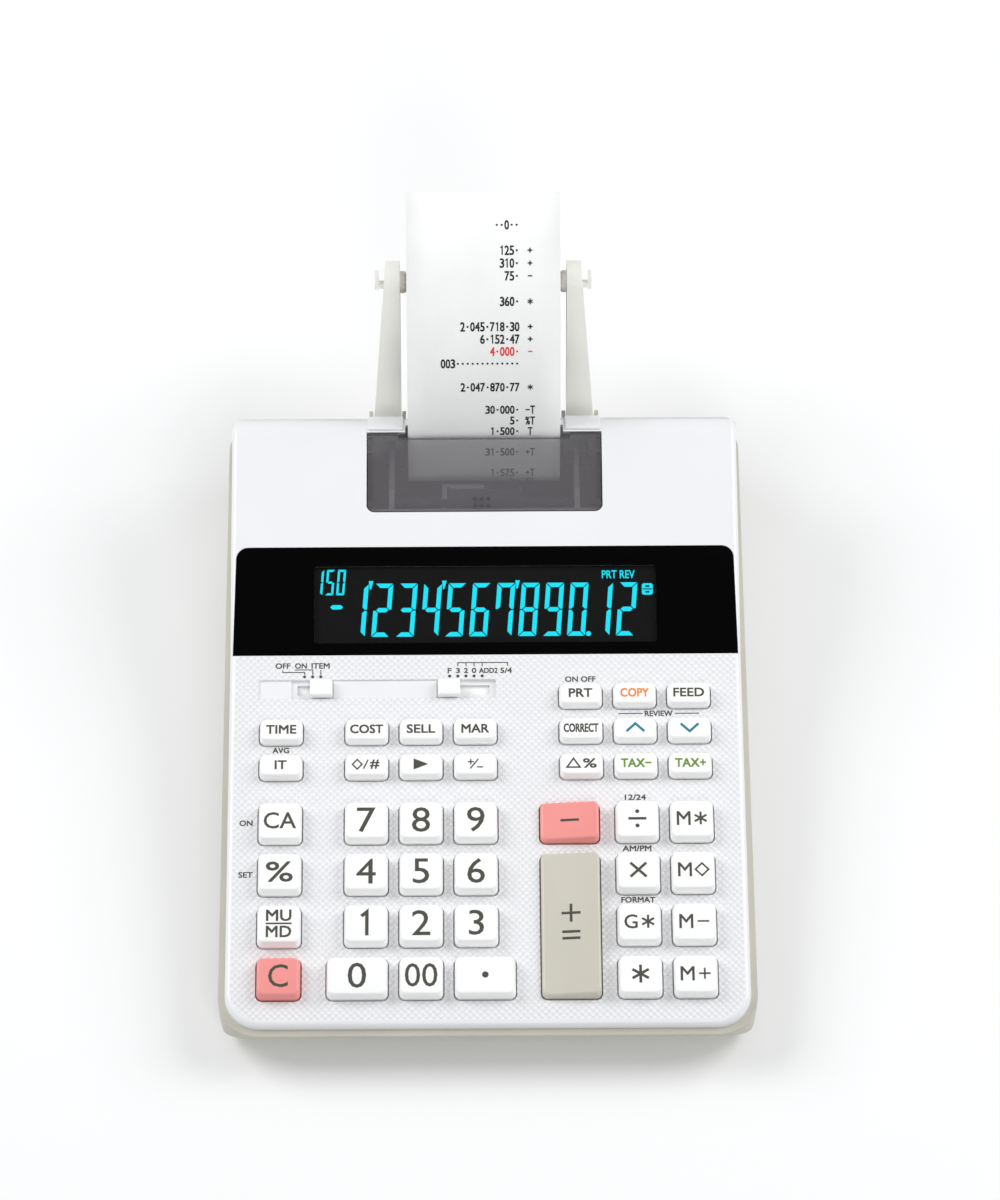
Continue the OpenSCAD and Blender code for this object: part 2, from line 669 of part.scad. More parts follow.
// ---- slide switches
module knob(x) {
  low = -bed_deep + 0.15;
  color(white) place() key_frame() translate([x, channel_s, 0]) {
    translate([-knob_w / 2, -knob_d / 2, low]) difference() {
      cube([knob_w, knob_d, knob_h - low]);
      for (e = [-1, 1]) translate([knob_w / 2 + e * knob_w / 2, knob_d / 2, knob_h - low])
        rotate([0, 45, 0]) cube([1.2, knob_d + 2, 1.2], center = true);
    }
    for (e = [-1:1])
      translate([e * 1.6 - 0.3, -knob_d / 2 + 0.8, knob_h - eps]) cube([0.6, knob_d - 1.6, 0.4]);
    translate([-neck_w / 2, -neck_d / 2, -wall - 0.5]) cube([neck_w, neck_d, wall + 1]);
    translate([-neck_w / 2 - 2, -neck_d / 2 - 1.4, -wall - 1.5]) cube([neck_w + 4, neck_d + 2.8, 1.2]);
  }
}
module item_switch_knob() knob(item_x);
module decimal_switch_knob() knob(decimal_x);

// ---- printer
module side_plate() difference() {
  across(plate_x, plate_x + plate_t) polygon([[frame_y[0], floor_z], [frame_y[1] - 3, floor_z],
    [frame_y[1], floor_z + 12],
    [frame_y[1], platen[1] + 3], [platen[0] + 2, platen[1] + 6], [ink[0] + 7, ink[1] + 1],
    [ink[0] + 4, ink[1] + 4], [ink[0] - 5, ink[1] + 3], [frame_y[0], ink[1] - 8]]);
  bar(platen, shaft_r + fit, 0, far);
  bar(ink, rod_r + fit, 0, far);
}

floor_t = 2;         // the frame's floor
// the print head, below the ink roller
head_x = -8;
head_w = 16;
head_h = 16;
head_down = 24;      // from the ink roller's axis to its underside
head_ahead = 2;      // how far it starts ahead of that axis
head_gap = 1.4;      // gap between it and the platen
// the motor, lying across the floor on its cradle
motor_r = 9;
motor_ends = [-24, 4];
motor_shaft_r = 3;
motor_shaft_len = 3;
motor_up = 1;        // gap between it and the floor
motor_back = 6;      // how far its axis lies behind the ink roller's
cradle = [20, 12, 5];
motor = [ink[0] + motor_back, floor_z + floor_t + motor_up + motor_r];
// the two tie rods, as steps back and down from the ink roller
ties = [[5, -16], [13, -20]];
module printer_frame() color([0.35, 0.36, 0.38]) place() {
  both_sides() side_plate();
  translate([-plate_x - plate_t, frame_y[0], floor_z])
    cube([2 * (plate_x + plate_t), frame_y[1] - 3 - frame_y[0], floor_t]);
  for (tie = ties) bar(ink + tie, rod_r, -plate_x - 1, plate_x + 1);
  translate([head_x - head_w / 2, ink[0] - head_ahead, ink[1] - head_down])
    cube([head_w, platen[0] - platen_r - head_gap - ink[0] + head_ahead, head_h]);
  bar(motor, motor_r, motor_ends[0], motor_ends[1]);
  bar(motor, motor_shaft_r, motor_ends[1] - eps, motor_ends[1] + motor_shaft_len);
  translate([-cradle[0], motor[0] - cradle[1] / 2, floor_z + floor_t / 2]) cube(cradle);
}

module platen_roller() color([0.12, 0.12, 0.13]) place() {
  bar(platen, platen_r, -paper_w / 2 - 1.5, paper_w / 2 + 1.5);
  bar(platen, shaft_r, -plate_x - plate_t - 1.5, plate_x + plate_t + 5);
  gear_in = platen_r - 1.2;
  translate([plate_x + plate_t + 0.8, platen[0], platen[1]]) rotate([90, 0, 90]) linear_extrude(height = 3)
    polygon([for (i = [0:gear_teeth - 1], j = [0:3])
      along([0, 0], (i + [0, 0.18, 0.5, 0.68][j]) * 360 / gear_teeth,
        j == 1 || j == 2 ? platen_r + 0.4 : gear_in)]);
}

module ink_roller() color([0.2, 0.15, 0.35]) place() {
  half = 13;
  flange = 1.2;
  bar(ink, ink_r, -half, half);
  bar(ink, rod_r, -plate_x - plate_t - 0.8, plate_x + plate_t + 0.8);
  both_sides() bar(ink, ink_r + 0.8, half - eps, half + flange);
}

// ---- paper
// slope and length of the straight run between a point and a circle's underside
function reach_to(p, c) = norm(c - p);
function under(p, c, r) = atan2(c[1] - p[1], c[0] - p[0]) - asin(r / reach_to(p, c));
function run(p, c, r) = sqrt(pow(reach_to(p, c), 2) - r * r);
web_r = roll_r + paper_t / 2 + tape_gap;
web_slope = under(inlet, hub, web_r);
web_end = along(inlet, web_slope, run(inlet, hub, web_r));
down_slope = atan2(platen[1] - inlet[1], platen[0] - inlet[0])
  + 360 * (platen[1] < inlet[1] ? 1 : 0) + asin(wrap_r / reach_to(inlet, platen));
wrap_from = down_slope + 90;
wrap_to = lead + 90;
strip_turn = strip_len / strip_curl * 180 / PI;
curl_centre = along(exit, lead - 90, strip_curl);
tape_line = concat([web_end, inlet],
  arc(platen, wrap_r, wrap_from, wrap_to, 14), [exit],
  [for (i = [1:14]) along(curl_centre, lead + 90 - strip_turn * i / 14, strip_curl)]);

function direction(p, q) = atan2(q[1] - p[1], q[0] - p[0]);
function normal_at(i) = let (n = len(tape_line),
    a = direction(tape_line[max(i - 1, 0)], tape_line[i == 0 ? 1 : i]),
    b = direction(tape_line[i == n - 1 ? n - 2 : i], tape_line[min(i + 1, n - 1)]),
    v = [cos(a) + cos(b), sin(a) + sin(b)]) [-v[1], v[0]] / norm(v);

module paper_tape() color([0.97, 0.97, 0.96]) place() across(-paper_w / 2, paper_w / 2)
  polygon(concat([for (i = [0:len(tape_line) - 1]) tape_line[i] + normal_at(i) * paper_t / 2],
    [for (i = [len(tape_line) - 1:-1:0]) tape_line[i] - normal_at(i) * paper_t / 2]));

module paper_roll() color([0.96, 0.96, 0.95]) place() difference() {
  bar(hub, roll_r, -paper_w / 2, paper_w / 2);
  bar(hub, spindle_r + fit, -paper_w, paper_w);
}

// ---- roll holder arms
module arm() {
  spindle_in = paper_w / 2 - 9;
  translate([0, pivot[0], pivot[1]]) rotate([arm_lean, 0, 0]) {
    difference() {
      intersection() {
        across(arm_in, arm_out) hull() {
          circle(r = foot_arm_r);
          translate([arm_len, 0]) circle(r = tip_arm_r);
        }
        translate([0, 0, -tip_arm_r - 1]) linear_extrude(height = 2 * tip_arm_r + 2)
          polygon([[arm_in, -foot_arm_r - 1], [arm_out, -foot_arm_r - 1], [arm_out, 0],
            [arm_in + arm_tip_w, arm_len + tip_arm_r + 1], [arm_in, arm_len + tip_arm_r + 1]]);
      }
      across(arm_in + 2.4, arm_out + 1) hull() {
        translate([foot_arm_r + 3, 0]) circle(r = foot_arm_r - 2);
        translate([arm_len - tip_arm_r - 5, 0]) circle(r = tip_arm_r - 3);
      }
    }
    bar([0, 0], pivot_r, arm_in - ear_gap - ear_t, arm_out + ear_gap + ear_t);
    bar([arm_len, 0], spindle_r, spindle_in, arm_in + 1);
    bar([arm_len, 0], spindle_r + 0.4, paper_w / 2 + roll_gap, arm_in + 1);
    bar([arm_len - 1, 0], 1.5, arm_in + 2, arm_in + arm_tip_w + 4);
    across(arm_in + arm_tip_w + 2.6, arm_in + arm_tip_w + 4) polygon([[arm_len - 2.5, -2], [arm_len + 4, -2],
      [arm_len + 4, 2], [arm_len - 2.5, 2]]);
  }
}

module right_roll_arm() color(beige) place() arm();
module left_roll_arm() color(beige) place() mirror([1, 0, 0]) arm();

bottom_case();
top_cover();
display_window();
lcd_module();
printer_cover();
key_board();
key_mat();
item_switch_knob();
decimal_switch_knob();
printer_frame();
platen_roller();
ink_roller();
paper_tape();
paper_roll();
left_roll_arm();
right_roll_arm();
rubber_feet();
for (k = keys) key(k);
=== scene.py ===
import bpy
import bmesh
import math
from mathutils import Matrix, Vector
from mathutils.bvhtree import BVHTree


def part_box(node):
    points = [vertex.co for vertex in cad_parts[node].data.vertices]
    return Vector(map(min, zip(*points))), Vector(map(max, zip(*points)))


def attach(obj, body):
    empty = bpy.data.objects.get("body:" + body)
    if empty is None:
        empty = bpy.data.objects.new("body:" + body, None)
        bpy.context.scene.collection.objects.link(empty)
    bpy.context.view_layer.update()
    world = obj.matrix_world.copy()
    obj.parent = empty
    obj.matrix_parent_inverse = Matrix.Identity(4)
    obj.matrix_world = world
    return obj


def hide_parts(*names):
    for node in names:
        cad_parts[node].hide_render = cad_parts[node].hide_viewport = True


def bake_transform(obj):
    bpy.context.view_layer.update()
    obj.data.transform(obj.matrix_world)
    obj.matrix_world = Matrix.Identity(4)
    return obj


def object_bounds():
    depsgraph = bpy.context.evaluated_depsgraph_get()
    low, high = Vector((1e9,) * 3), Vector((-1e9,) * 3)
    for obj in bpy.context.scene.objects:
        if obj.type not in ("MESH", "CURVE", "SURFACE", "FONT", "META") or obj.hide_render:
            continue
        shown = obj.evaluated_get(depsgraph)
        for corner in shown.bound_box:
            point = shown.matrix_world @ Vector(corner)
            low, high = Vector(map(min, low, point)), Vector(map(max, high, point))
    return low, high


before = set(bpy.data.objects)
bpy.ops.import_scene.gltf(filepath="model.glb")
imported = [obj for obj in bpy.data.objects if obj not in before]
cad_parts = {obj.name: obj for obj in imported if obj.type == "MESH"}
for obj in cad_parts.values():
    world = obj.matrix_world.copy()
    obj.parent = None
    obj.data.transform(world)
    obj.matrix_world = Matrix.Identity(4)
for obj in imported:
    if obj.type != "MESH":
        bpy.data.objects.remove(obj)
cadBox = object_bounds()
mm = 0.001  # meshes are shaped in millimetres and placed in metres

# ---- the case's slopes, seen from the side, in millimetres
case = {
    "width": 195, "length": 252, "cornerRadius": 15, "rimZ": 17.5, "partTilt": 4, "ledge": 2.5, "wall": 2.2,
    "lipHeight": 3.3, "keyTilt": 7.3, "keyLength": 144.993, "panelTilt": 18, "panelLength": 41.4,
    "deckTilt": 13, "deckLength": 44.5, "rearRoll": 10, "rearCorner": 6, "edgeRadius": 2.2,
}
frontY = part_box("bottom_case")[0].y / mm


def along(point, angle, distance):
    turn = math.radians(angle)
    return (point[0] + distance * math.cos(turn), point[1] + distance * math.sin(turn))


def arcPoints(centre, radius, start, end, steps):
    return [along(centre, start + (end - start) * i / steps, radius) for i in range(steps + 1)]


def rimAt(y):
    return case["rimZ"] + (y - frontY) * math.tan(math.radians(case["partTilt"]))


keyStart = (frontY + case["ledge"], rimAt(frontY + case["ledge"]) + case["lipHeight"])
panelStart = along(keyStart, case["keyTilt"], case["keyLength"])
deckStart = along(panelStart, case["panelTilt"], case["panelLength"])
deckEnd = along(deckStart, case["deckTilt"], case["deckLength"])
rollCentre = along(deckEnd, case["deckTilt"] - 90, case["rearRoll"])
coverBack = rollCentre[0] + case["rearRoll"]
coverWidth = case["width"] - 2 * case["ledge"]


def slope(start, tilt):
    # from a slope's own x, distance up it and height over it, to the part's frame
    return Matrix.Translation((0, start[0], start[1])) @ Matrix.Rotation(math.radians(tilt), 4, "X")


keySlope = slope(keyStart, case["keyTilt"])
panelSlope = slope(panelStart, case["panelTilt"])
deckSlope = slope(deckStart, case["deckTilt"])
level = Matrix.Identity(4)

# ---- finishes


def linear(colour):
    # 0 to 255 screen values to the shader's linear ones
    parts = [c / 255 for c in colour]
    return tuple(p / 12.92 if p <= 0.04045 else ((p + 0.055) / 1.055) ** 2.4 for p in parts) + (1,)


def darker(colour, step):
    return tuple(max(c - step, 0) for c in colour)


class Wiring:
    # short calls for wiring one material
    def __init__(self, name, colour, roughness):
        self.material = bpy.data.materials.new(name)
        self.material.use_nodes = True
        self.nodes = self.material.node_tree.nodes
        self.links = self.material.node_tree.links
        self.shader = self.nodes["Principled BSDF"]
        self.shader.inputs["Base Color"].default_value = linear(colour)
        self.shader.inputs["Roughness"].default_value = roughness
        self.place = self.nodes.new("ShaderNodeTexCoord").outputs["Object"]

    def set(self, **values):
        for key, value in values.items():
            self.shader.inputs[key.replace("_", " ")].default_value = value

    def noise(self, scale, detail=3, roughness=0.5, stretch=None):
        node = self.nodes.new("ShaderNodeTexNoise")
        node.inputs["Scale"].default_value = scale
        node.inputs["Detail"].default_value = detail
        node.inputs["Roughness"].default_value = roughness
        source = self.place
        if stretch:
            mapping = self.nodes.new("ShaderNodeMapping")
            mapping.inputs["Scale"].default_value = stretch
            self.links.new(self.place, mapping.inputs["Vector"])
            source = mapping.outputs["Vector"]
        self.links.new(source, node.inputs["Vector"])
        return node.outputs["Fac"]

    def math(self, operation, first, second=None):
        node = self.nodes.new("ShaderNodeMath")
        node.operation = operation
        for socket, value in zip(node.inputs, (first, second)):
            if value is None:
                continue
            if isinstance(value, (int, float)):
                socket.default_value = value
            else:
                self.links.new(value, socket)
        return node.outputs[0]

    def rescale(self, value, low, high, fromLow=0.3, fromHigh=0.7):
        node = self.nodes.new("ShaderNodeMapRange")
        node.inputs["From Min"].default_value = fromLow
        node.inputs["From Max"].default_value = fromHigh
        node.inputs["To Min"].default_value = low
        node.inputs["To Max"].default_value = high
        self.links.new(value, node.inputs["Value"])
        return node.outputs["Result"]

    def tint(self, factor, first, second):
        node = self.nodes.new("ShaderNodeMix")
        node.data_type = "RGBA"
        node.inputs["A"].default_value = linear(first)
        node.inputs["B"].default_value = linear(second)
        self.links.new(factor, node.inputs["Factor"])
        return node.outputs["Result"]

    def bump(self, height, distance, strength=1.0, below=None):
        node = self.nodes.new("ShaderNodeBump")
        node.inputs["Distance"].default_value = distance
        node.inputs["Strength"].default_value = strength
        self.links.new(height, node.inputs["Height"])
        if below:
            self.links.new(below, node.inputs["Normal"])
        return node.outputs["Normal"]

    def connect(self, value, socket):
        self.links.new(value, self.shader.inputs[socket])

    def mottle(self, scale, detail, first, second):
        # base colour that drifts between two
        self.connect(self.tint(self.rescale(self.noise(scale, detail), 0, 1), first, second), "Base Color")

    def unevenShine(self, scale, detail, low, high):
        self.connect(self.rescale(self.noise(scale, detail), low, high), "Roughness")

    def axis(self, name):
        node = self.nodes.new("ShaderNodeSeparateXYZ")
        self.links.new(self.place, node.inputs[0])
        return node.outputs[name]


def mouldedPlastic(name, colour, roughness=0.38, grain=1400, grainDepth=0.000008, shift=4, coat=0.0):
    # colour drifts a little over the moulding, over a fine spark-eroded grain
    w = Wiring(name, colour, roughness)
    w.mottle(28, 2, darker(colour, shift), tuple(min(c + shift * 0.5, 255) for c in colour))
    w.unevenShine(grain * 0.3, 3, roughness - 0.02, roughness + 0.03)
    w.connect(w.bump(w.noise(grain, 4, 0.6), grainDepth), "Normal")
    w.set(Coat_Weight=coat)
    return w.material


def embossedPlastic(name, colour, pitch, depth):
    # rows of small oval pads, each row half a pad along from the last
    w = Wiring(name, colour, 0.42)
    turn = 2 * math.pi / (pitch * mm)
    acrossWave = w.math("COSINE", w.math("MULTIPLY", w.axis("X"), turn))
    upWave = w.math("COSINE", w.math("MULTIPLY", w.axis("Y"), turn / math.cos(math.radians(case["keyTilt"]))))
    pads = w.math("MULTIPLY", acrossWave, upWave)
    rounded = w.rescale(pads, 0, 1, -0.55, 0.65)
    fine = w.bump(w.noise(1800, 3), 0.000004)
    w.connect(w.bump(rounded, depth, 1.0, fine), "Normal")
    # painted shade: the valleys between the pads are darker than their tops
    w.connect(w.tint(rounded, darker(colour, 13), colour), "Base Color")
    w.connect(w.rescale(pads, 0.5, 0.38, -1, 1), "Roughness")
    return w.material


def paperStock(name, colour):
    w = Wiring(name, colour, 0.85)
    fibres = w.noise(900, 6, 0.7, (1, 0.35, 0.35))
    w.mottle(60, 4, darker(colour, 5), colour)
    w.connect(w.bump(fibres, 0.00002, 0.5), "Normal")
    w.set(Sheen_Weight=0.08)
    return w.material


def rolledPaper(name, colour, pitch):
    # the end faces of a roll show its turns
    w = Wiring(name, colour, 0.8)
    offsets = [w.math("SUBTRACT", w.axis(axis), centre * mm) for axis, centre in zip("YZ", rollHub)]
    distance = w.math("SQRT", w.math("ADD", *(w.math("MULTIPLY", offset, offset) for offset in offsets)))
    turns = w.math("SINE", w.math("MULTIPLY", distance, 2 * math.pi / (pitch * mm)))
    uneven = w.math("ADD", turns, w.noise(500, 3))
    w.connect(w.tint(w.rescale(uneven, 0, 1, -0.7, 1.6), darker(colour, 30), colour), "Base Color")
    w.connect(w.bump(uneven, 0.00004, 0.6), "Normal")
    return w.material


def rubber(name, colour, grain=900, depth=0.00003, roughness=0.75):
    w = Wiring(name, colour, roughness)
    w.mottle(120, 4, darker(colour, 8), colour)
    w.connect(w.bump(w.noise(grain, 5, 0.7), depth), "Normal")
    w.unevenShine(200, 3, roughness - 0.1, roughness + 0.1)
    return w.material


def gloss(name, colour, roughness=0.05, seeThrough=1.0, shine=0.5):
    w = Wiring(name, colour, roughness)
    w.connect(w.bump(w.noise(900, 2), 0.000001, 0.3), "Normal")
    w.unevenShine(700, 4, roughness, roughness + 0.04)
    w.set(Alpha=seeThrough, Specular_IOR_Level=shine)
    return w.material


def ink(name, colour, roughness=0.5):
    w = Wiring(name, colour, roughness)
    w.mottle(2500, 2, darker(colour, 6), colour)
    w.unevenShine(2500, 2, roughness - 0.08, roughness + 0.08)
    return w.material


def paleFloor(name, colour, lift):
    # a little whiter where it is seen, by eye or in a reflection, than where it lights the object
    w = Wiring(name, colour, 0.9)
    path = w.nodes.new("ShaderNodeLightPath")
    seen = w.math("MAXIMUM", path.outputs["Is Camera Ray"], path.outputs["Is Glossy Ray"])
    seen = w.math("MAXIMUM", seen, path.outputs["Is Transmission Ray"])
    w.connect(w.math("MULTIPLY", seen, lift), "Emission Strength")
    w.set(Emission_Color=(1, 1, 1, 1))
    return w.material


def metal(name, colour, roughness=0.3, stretch=(1, 12, 12)):
    w = Wiring(name, colour, roughness)
    w.set(Metallic=1.0)
    brushed = w.noise(700, 4, 0.6, stretch)
    w.connect(w.rescale(brushed, roughness - 0.08, roughness + 0.14), "Roughness")
    w.connect(w.bump(brushed, 0.000008, 0.5), "Normal")
    return w.material


def litSegment(name, colour, strength):
    w = Wiring(name, (10, 40, 46), 0.3)
    w.set(Emission_Color=linear(colour), Emission_Strength=strength)
    w.unevenShine(1500, 2, 0.25, 0.35)
    return w.material


def etchedBoard(name, colour):
    w = Wiring(name, colour, 0.35)
    tracks = w.rescale(w.noise(420, 1, 0.4, (1, 0.25, 1)), 0, 1, 0.48, 0.52)
    w.connect(w.tint(tracks, tuple(c * 0.7 for c in colour), colour), "Base Color")
    w.connect(w.bump(tracks, 0.00003), "Normal")
    return w.material


# the roll holder's and the tape's places, in millimetres
holder = {"pivotUp": 7.4, "pivotBack": 7.2, "lean": 55, "armLength": 57}
armPivot = (coverBack + holder["pivotBack"], rimAt(frontY + case["length"]) + holder["pivotUp"] - 0.6)
rollHub = along(armPivot, holder["lean"], holder["armLength"])

white = mouldedPlastic("shellWhite", (236, 236, 238), 0.3, 1600, 0.0000015, 2, 0.15)
embossed = embossedPlastic("keyAreaWhite", (239, 239, 241), 2.6, 0.00022)
beige = mouldedPlastic("caseBeige", (194, 191, 178), 0.42, 1500, 0.00001)
paleBeige = mouldedPlastic("armBeige", (246, 245, 239), 0.4, 1500, 0.000008)
keyWhite = mouldedPlastic("keyWhite", (250, 250, 249), 0.34, 2200, 0.000003, 2)
keyPink = mouldedPlastic("keyPink", (241, 150, 145), 0.34, 2200, 0.000003, 3)
keyBeige = mouldedPlastic("keyBeige", (201, 197, 184), 0.34, 2200, 0.000003, 3)
darkInk = ink("legendInk", (72, 72, 62))
orangeInk = ink("legendOrange", (240, 134, 26))
greenInk = ink("legendGreen", (107, 142, 18))
tealInk = ink("legendTeal", (12, 127, 150))
tapeInk = ink("tapeInk", (12, 12, 14), 0.7)
tapeRed = ink("tapeRed", (232, 60, 48), 0.7)
windowBlack = gloss("windowBlack", (1, 1, 1), 0.12, 1.0, 0.06)
windowClear = gloss("windowClear", (6, 6, 6), 0.05, 0.05, 0.12)
lcdFace = gloss("lcdFace", (9, 9, 10), 0.4, 1.0, 0.2)
litCyan = litSegment("lcdLit", (0, 222, 242), 1.15)
smoked = gloss("smokedCover", (126, 123, 127), 0.07, 0.32, 0.35)
# painted shade: a darker copy of the smoked finish, for the lid's edges and the grip dots' rims
smokedPaintedShade = gloss("smokedPaintedShade", (76, 74, 77), 0.2, 0.8, 0.3)
platenRubber = rubber("platenRubber", (44, 44, 46), 1100, 0.00002, 0.6)
inkFoam = rubber("inkFoam", (42, 37, 56), 700, 0.00008, 0.9)
footRubber = rubber("footRubber", (38, 38, 38), 700)
domeRubber = rubber("domeRubber", (196, 196, 190), 900, 0.00001, 0.5)
# the printer's own grey, also used as painted shade on the white step under the lid
innerGreyAndSeatShade = mouldedPlastic("printerGreyAndSeatShade", (142, 143, 146), 0.45)
boardGreen = etchedBoard("boardGreen", (30, 92, 52))
paper = paperStock("tapePaper", (252, 252, 251))
rollPaper = rolledPaper("rollPaper", (246, 246, 244), 0.5)
steel = metal("steel", (186, 187, 190))
cardboard = paperStock("rollCore", (196, 178, 150))
print("finishes ready")

# ---- shaping


def place(bm, matrix):
    # from a slope's millimetres to metres in the part's frame
    bm.transform(Matrix.Scale(mm, 4) @ matrix)


def linked(name, data):
    thing = bpy.data.objects.new(name, data)
    bpy.context.scene.collection.objects.link(thing)
    return thing


def meshOf(bm, name):
    # the bmesh is used up
    mesh = bpy.data.meshes.new(name)
    bm.to_mesh(mesh)
    bm.free()
    return mesh


def bmeshOf(mesh):
    bm = bmesh.new()
    bm.from_mesh(mesh)
    return bm


def moved(bm, x, y, z=0):
    bmesh.ops.translate(bm, verts=bm.verts, vec=(x, y, z))
    return bm


def facingOut(bm):
    bmesh.ops.recalc_face_normals(bm, faces=bm.faces)
    return bm


def topOf(bm):
    return max(bm.faces, key=lambda f: f.calc_center_median().z)


def bottomOf(bm):
    return min(bm.faces, key=lambda f: f.calc_center_median().z)


def finished(bm, name, materials, body, smoothAngle=32):
    mesh = meshOf(bm, name)
    piece = linked(name, mesh)
    for material in materials:
        mesh.materials.append(material)
    mesh.polygons.foreach_set("use_smooth", [True] * len(mesh.polygons))
    mesh.set_sharp_from_angle(angle=math.radians(smoothAngle))
    if body:
        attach(piece, body)
    return piece


def applied(piece):
    # keeps what the modifiers make and drops them
    graph = bpy.context.evaluated_depsgraph_get()
    mesh = bpy.data.meshes.new_from_object(piece.evaluated_get(graph))
    piece.modifiers.clear()
    piece.data = mesh
    return mesh


def loose(bm, matrix=level):
    # a bmesh as a plain object, for cutting with
    bm.transform(matrix)
    return linked("loose", meshOf(facingOut(bm), "loose"))


def shapeOf(piece):
    # the loose object's shape, merged, and the object is used up
    bm = bmeshOf(piece.data)
    bpy.data.objects.remove(piece)
    bmesh.ops.remove_doubles(bm, verts=bm.verts, dist=0.001)
    bm.normal_update()
    return bm


def cut(target, cutter, operation="DIFFERENCE"):
    # works on the loose object target and uses the cutter up
    modifier = target.modifiers.new("cut", "BOOLEAN")
    modifier.operation = operation
    modifier.solver = "EXACT"
    modifier.object = cutter
    bpy.context.view_layer.update()
    applied(target)
    bpy.data.objects.remove(cutter)


def extruded(bm, faces, offset):
    made = bmesh.ops.extrude_face_region(bm, geom=faces)
    verts = [v for v in made["geom"] if isinstance(v, bmesh.types.BMVert)]
    bmesh.ops.translate(bm, verts=verts, vec=offset)
    return verts


def roundCorners(bm, verts, radius, segments):
    bmesh.ops.bevel(bm, geom=verts, offset=radius, offset_type="OFFSET", segments=segments, profile=0.5,
                    affect="VERTICES", material=-1, clamp_overlap=False)


def slab(width, depth, low, high, radius=0, segments=5, at=(0, 0), rearRadius=None):
    # an upright block with round corners, its middle at the place given
    bm = bmesh.new()
    bmesh.ops.create_grid(bm, x_segments=1, y_segments=1, size=0.5)
    bmesh.ops.scale(bm, vec=(width, depth, 1), verts=bm.verts)
    if rearRadius is not None:
        roundCorners(bm, [v for v in bm.verts if v.co.y < 0], radius, segments)
        roundCorners(bm, [v for v in bm.verts if v.co.y > depth / 2 - 1e-6], rearRadius, segments)
    elif radius:
        roundCorners(bm, bm.verts[:], radius, segments)
    moved(bm, at[0], at[1], low)
    extruded(bm, bm.faces[:], (0, 0, high - low))
    return facingOut(bm)


def sideCut(points, x0, x1):
    # an outline in the side view, drawn out across the part
    bm = bmesh.new()
    bm.faces.new([bm.verts.new((x0, y, z)) for y, z in points])
    extruded(bm, bm.faces[:], (x1 - x0, 0, 0))
    return facingOut(bm)


def outlineBlock(points, low, high):
    # an outline seen from above, drawn upwards
    bm = bmesh.new()
    bm.faces.new([bm.verts.new((x, y, low)) for x, y in points])
    extruded(bm, bm.faces[:], (0, 0, high - low))
    return facingOut(bm)


def joinInto(bm, other, matrix=None):
    if matrix:
        other.transform(matrix)
    mesh = meshOf(other, "part")
    bm.from_mesh(mesh)
    bpy.data.meshes.remove(mesh)


def joined(first, *others):
    for other in others:
        joinInto(first, other)
    return first


def tube(point, inner, outer, x0, x1, segments):
    bm = bmesh.new()
    for radius in (inner, outer):
        bmesh.ops.create_circle(bm, cap_ends=False, segments=segments, radius=radius)
    bmesh.ops.bridge_loops(bm, edges=bm.edges[:])
    bmesh.ops.rotate(bm, verts=bm.verts, matrix=Matrix.Rotation(math.radians(90), 3, "Y"))
    moved(bm, x0, point[0], point[1])
    extruded(bm, bm.faces[:], (x1 - x0, 0, 0))
    return facingOut(bm)


def softenEdges(bm, edges, width, segments=2):
    bmesh.ops.bevel(bm, geom=edges, offset=width, offset_type="OFFSET", segments=segments, profile=0.5,
                    affect="EDGES", material=-1, clamp_overlap=True)


def sharpEdges(bm, degrees):
    limit = math.radians(degrees)
    return [e for e in bm.edges if len(e.link_faces) == 2 and e.calc_face_angle(0) > limit]


def copyOfNode(node, soften=0.25, angle=30):
    # the CAD node's shape with its doubles merged and its edges softened
    bm = bmeshOf(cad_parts[node].data)
    bm.transform(Matrix.Scale(1 / mm, 4))
    bmesh.ops.remove_doubles(bm, verts=bm.verts, dist=0.0005)
    bmesh.ops.dissolve_limit(bm, angle_limit=math.radians(0.4), verts=bm.verts, edges=bm.edges)
    if soften:
        softenEdges(bm, sharpEdges(bm, angle), soften, 2)
    return facingOut(bm)


def dressed(node, material):
    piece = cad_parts[node]
    piece.data.materials.clear()
    piece.data.materials.append(material)
    return piece


# ---- printed legends


def lettering(text, height, width=None, weight=0.0, depth=0.03):
    # text as a thin closed mesh, centred on its own middle, in millimetres
    curve = bpy.data.curves.new("legend", "FONT")
    curve.body = text
    curve.size = 10
    curve.extrude = depth / 2
    curve.resolution_u = 3
    curve.fill_mode = "BOTH"
    words = linked("legend", curve)
    mesh = bpy.data.meshes.new_from_object(words.evaluated_get(bpy.context.evaluated_depsgraph_get()))
    bpy.data.objects.remove(words)
    bpy.data.curves.remove(curve)
    bm = bmeshOf(mesh)
    bpy.data.meshes.remove(mesh)
    bmesh.ops.remove_doubles(bm, verts=bm.verts, dist=0.0004)
    xs = [v.co.x for v in bm.verts]
    ys = [v.co.y for v in bm.verts]
    grow = height / (max(ys) - min(ys))
    stretch = width / (max(xs) - min(xs)) if width else grow
    moved(bm, -(max(xs) + min(xs)) / 2, -(max(ys) + min(ys)) / 2)
    bmesh.ops.scale(bm, verts=bm.verts, vec=(stretch, grow, 1))
    return heavier(bm, weight) if weight else bm


def heavier(bm, reach):
    # the shape struck four times, a little to each side, which thickens its strokes
    struck = bmesh.new()
    for i, (x, y) in enumerate(((-1, -1), (1, -1), (-1, 1), (1, 1))):
        joinInto(struck, bm.copy(), Matrix.Translation((x * reach, y * reach, i * 0.002)))
    bm.free()
    return struck


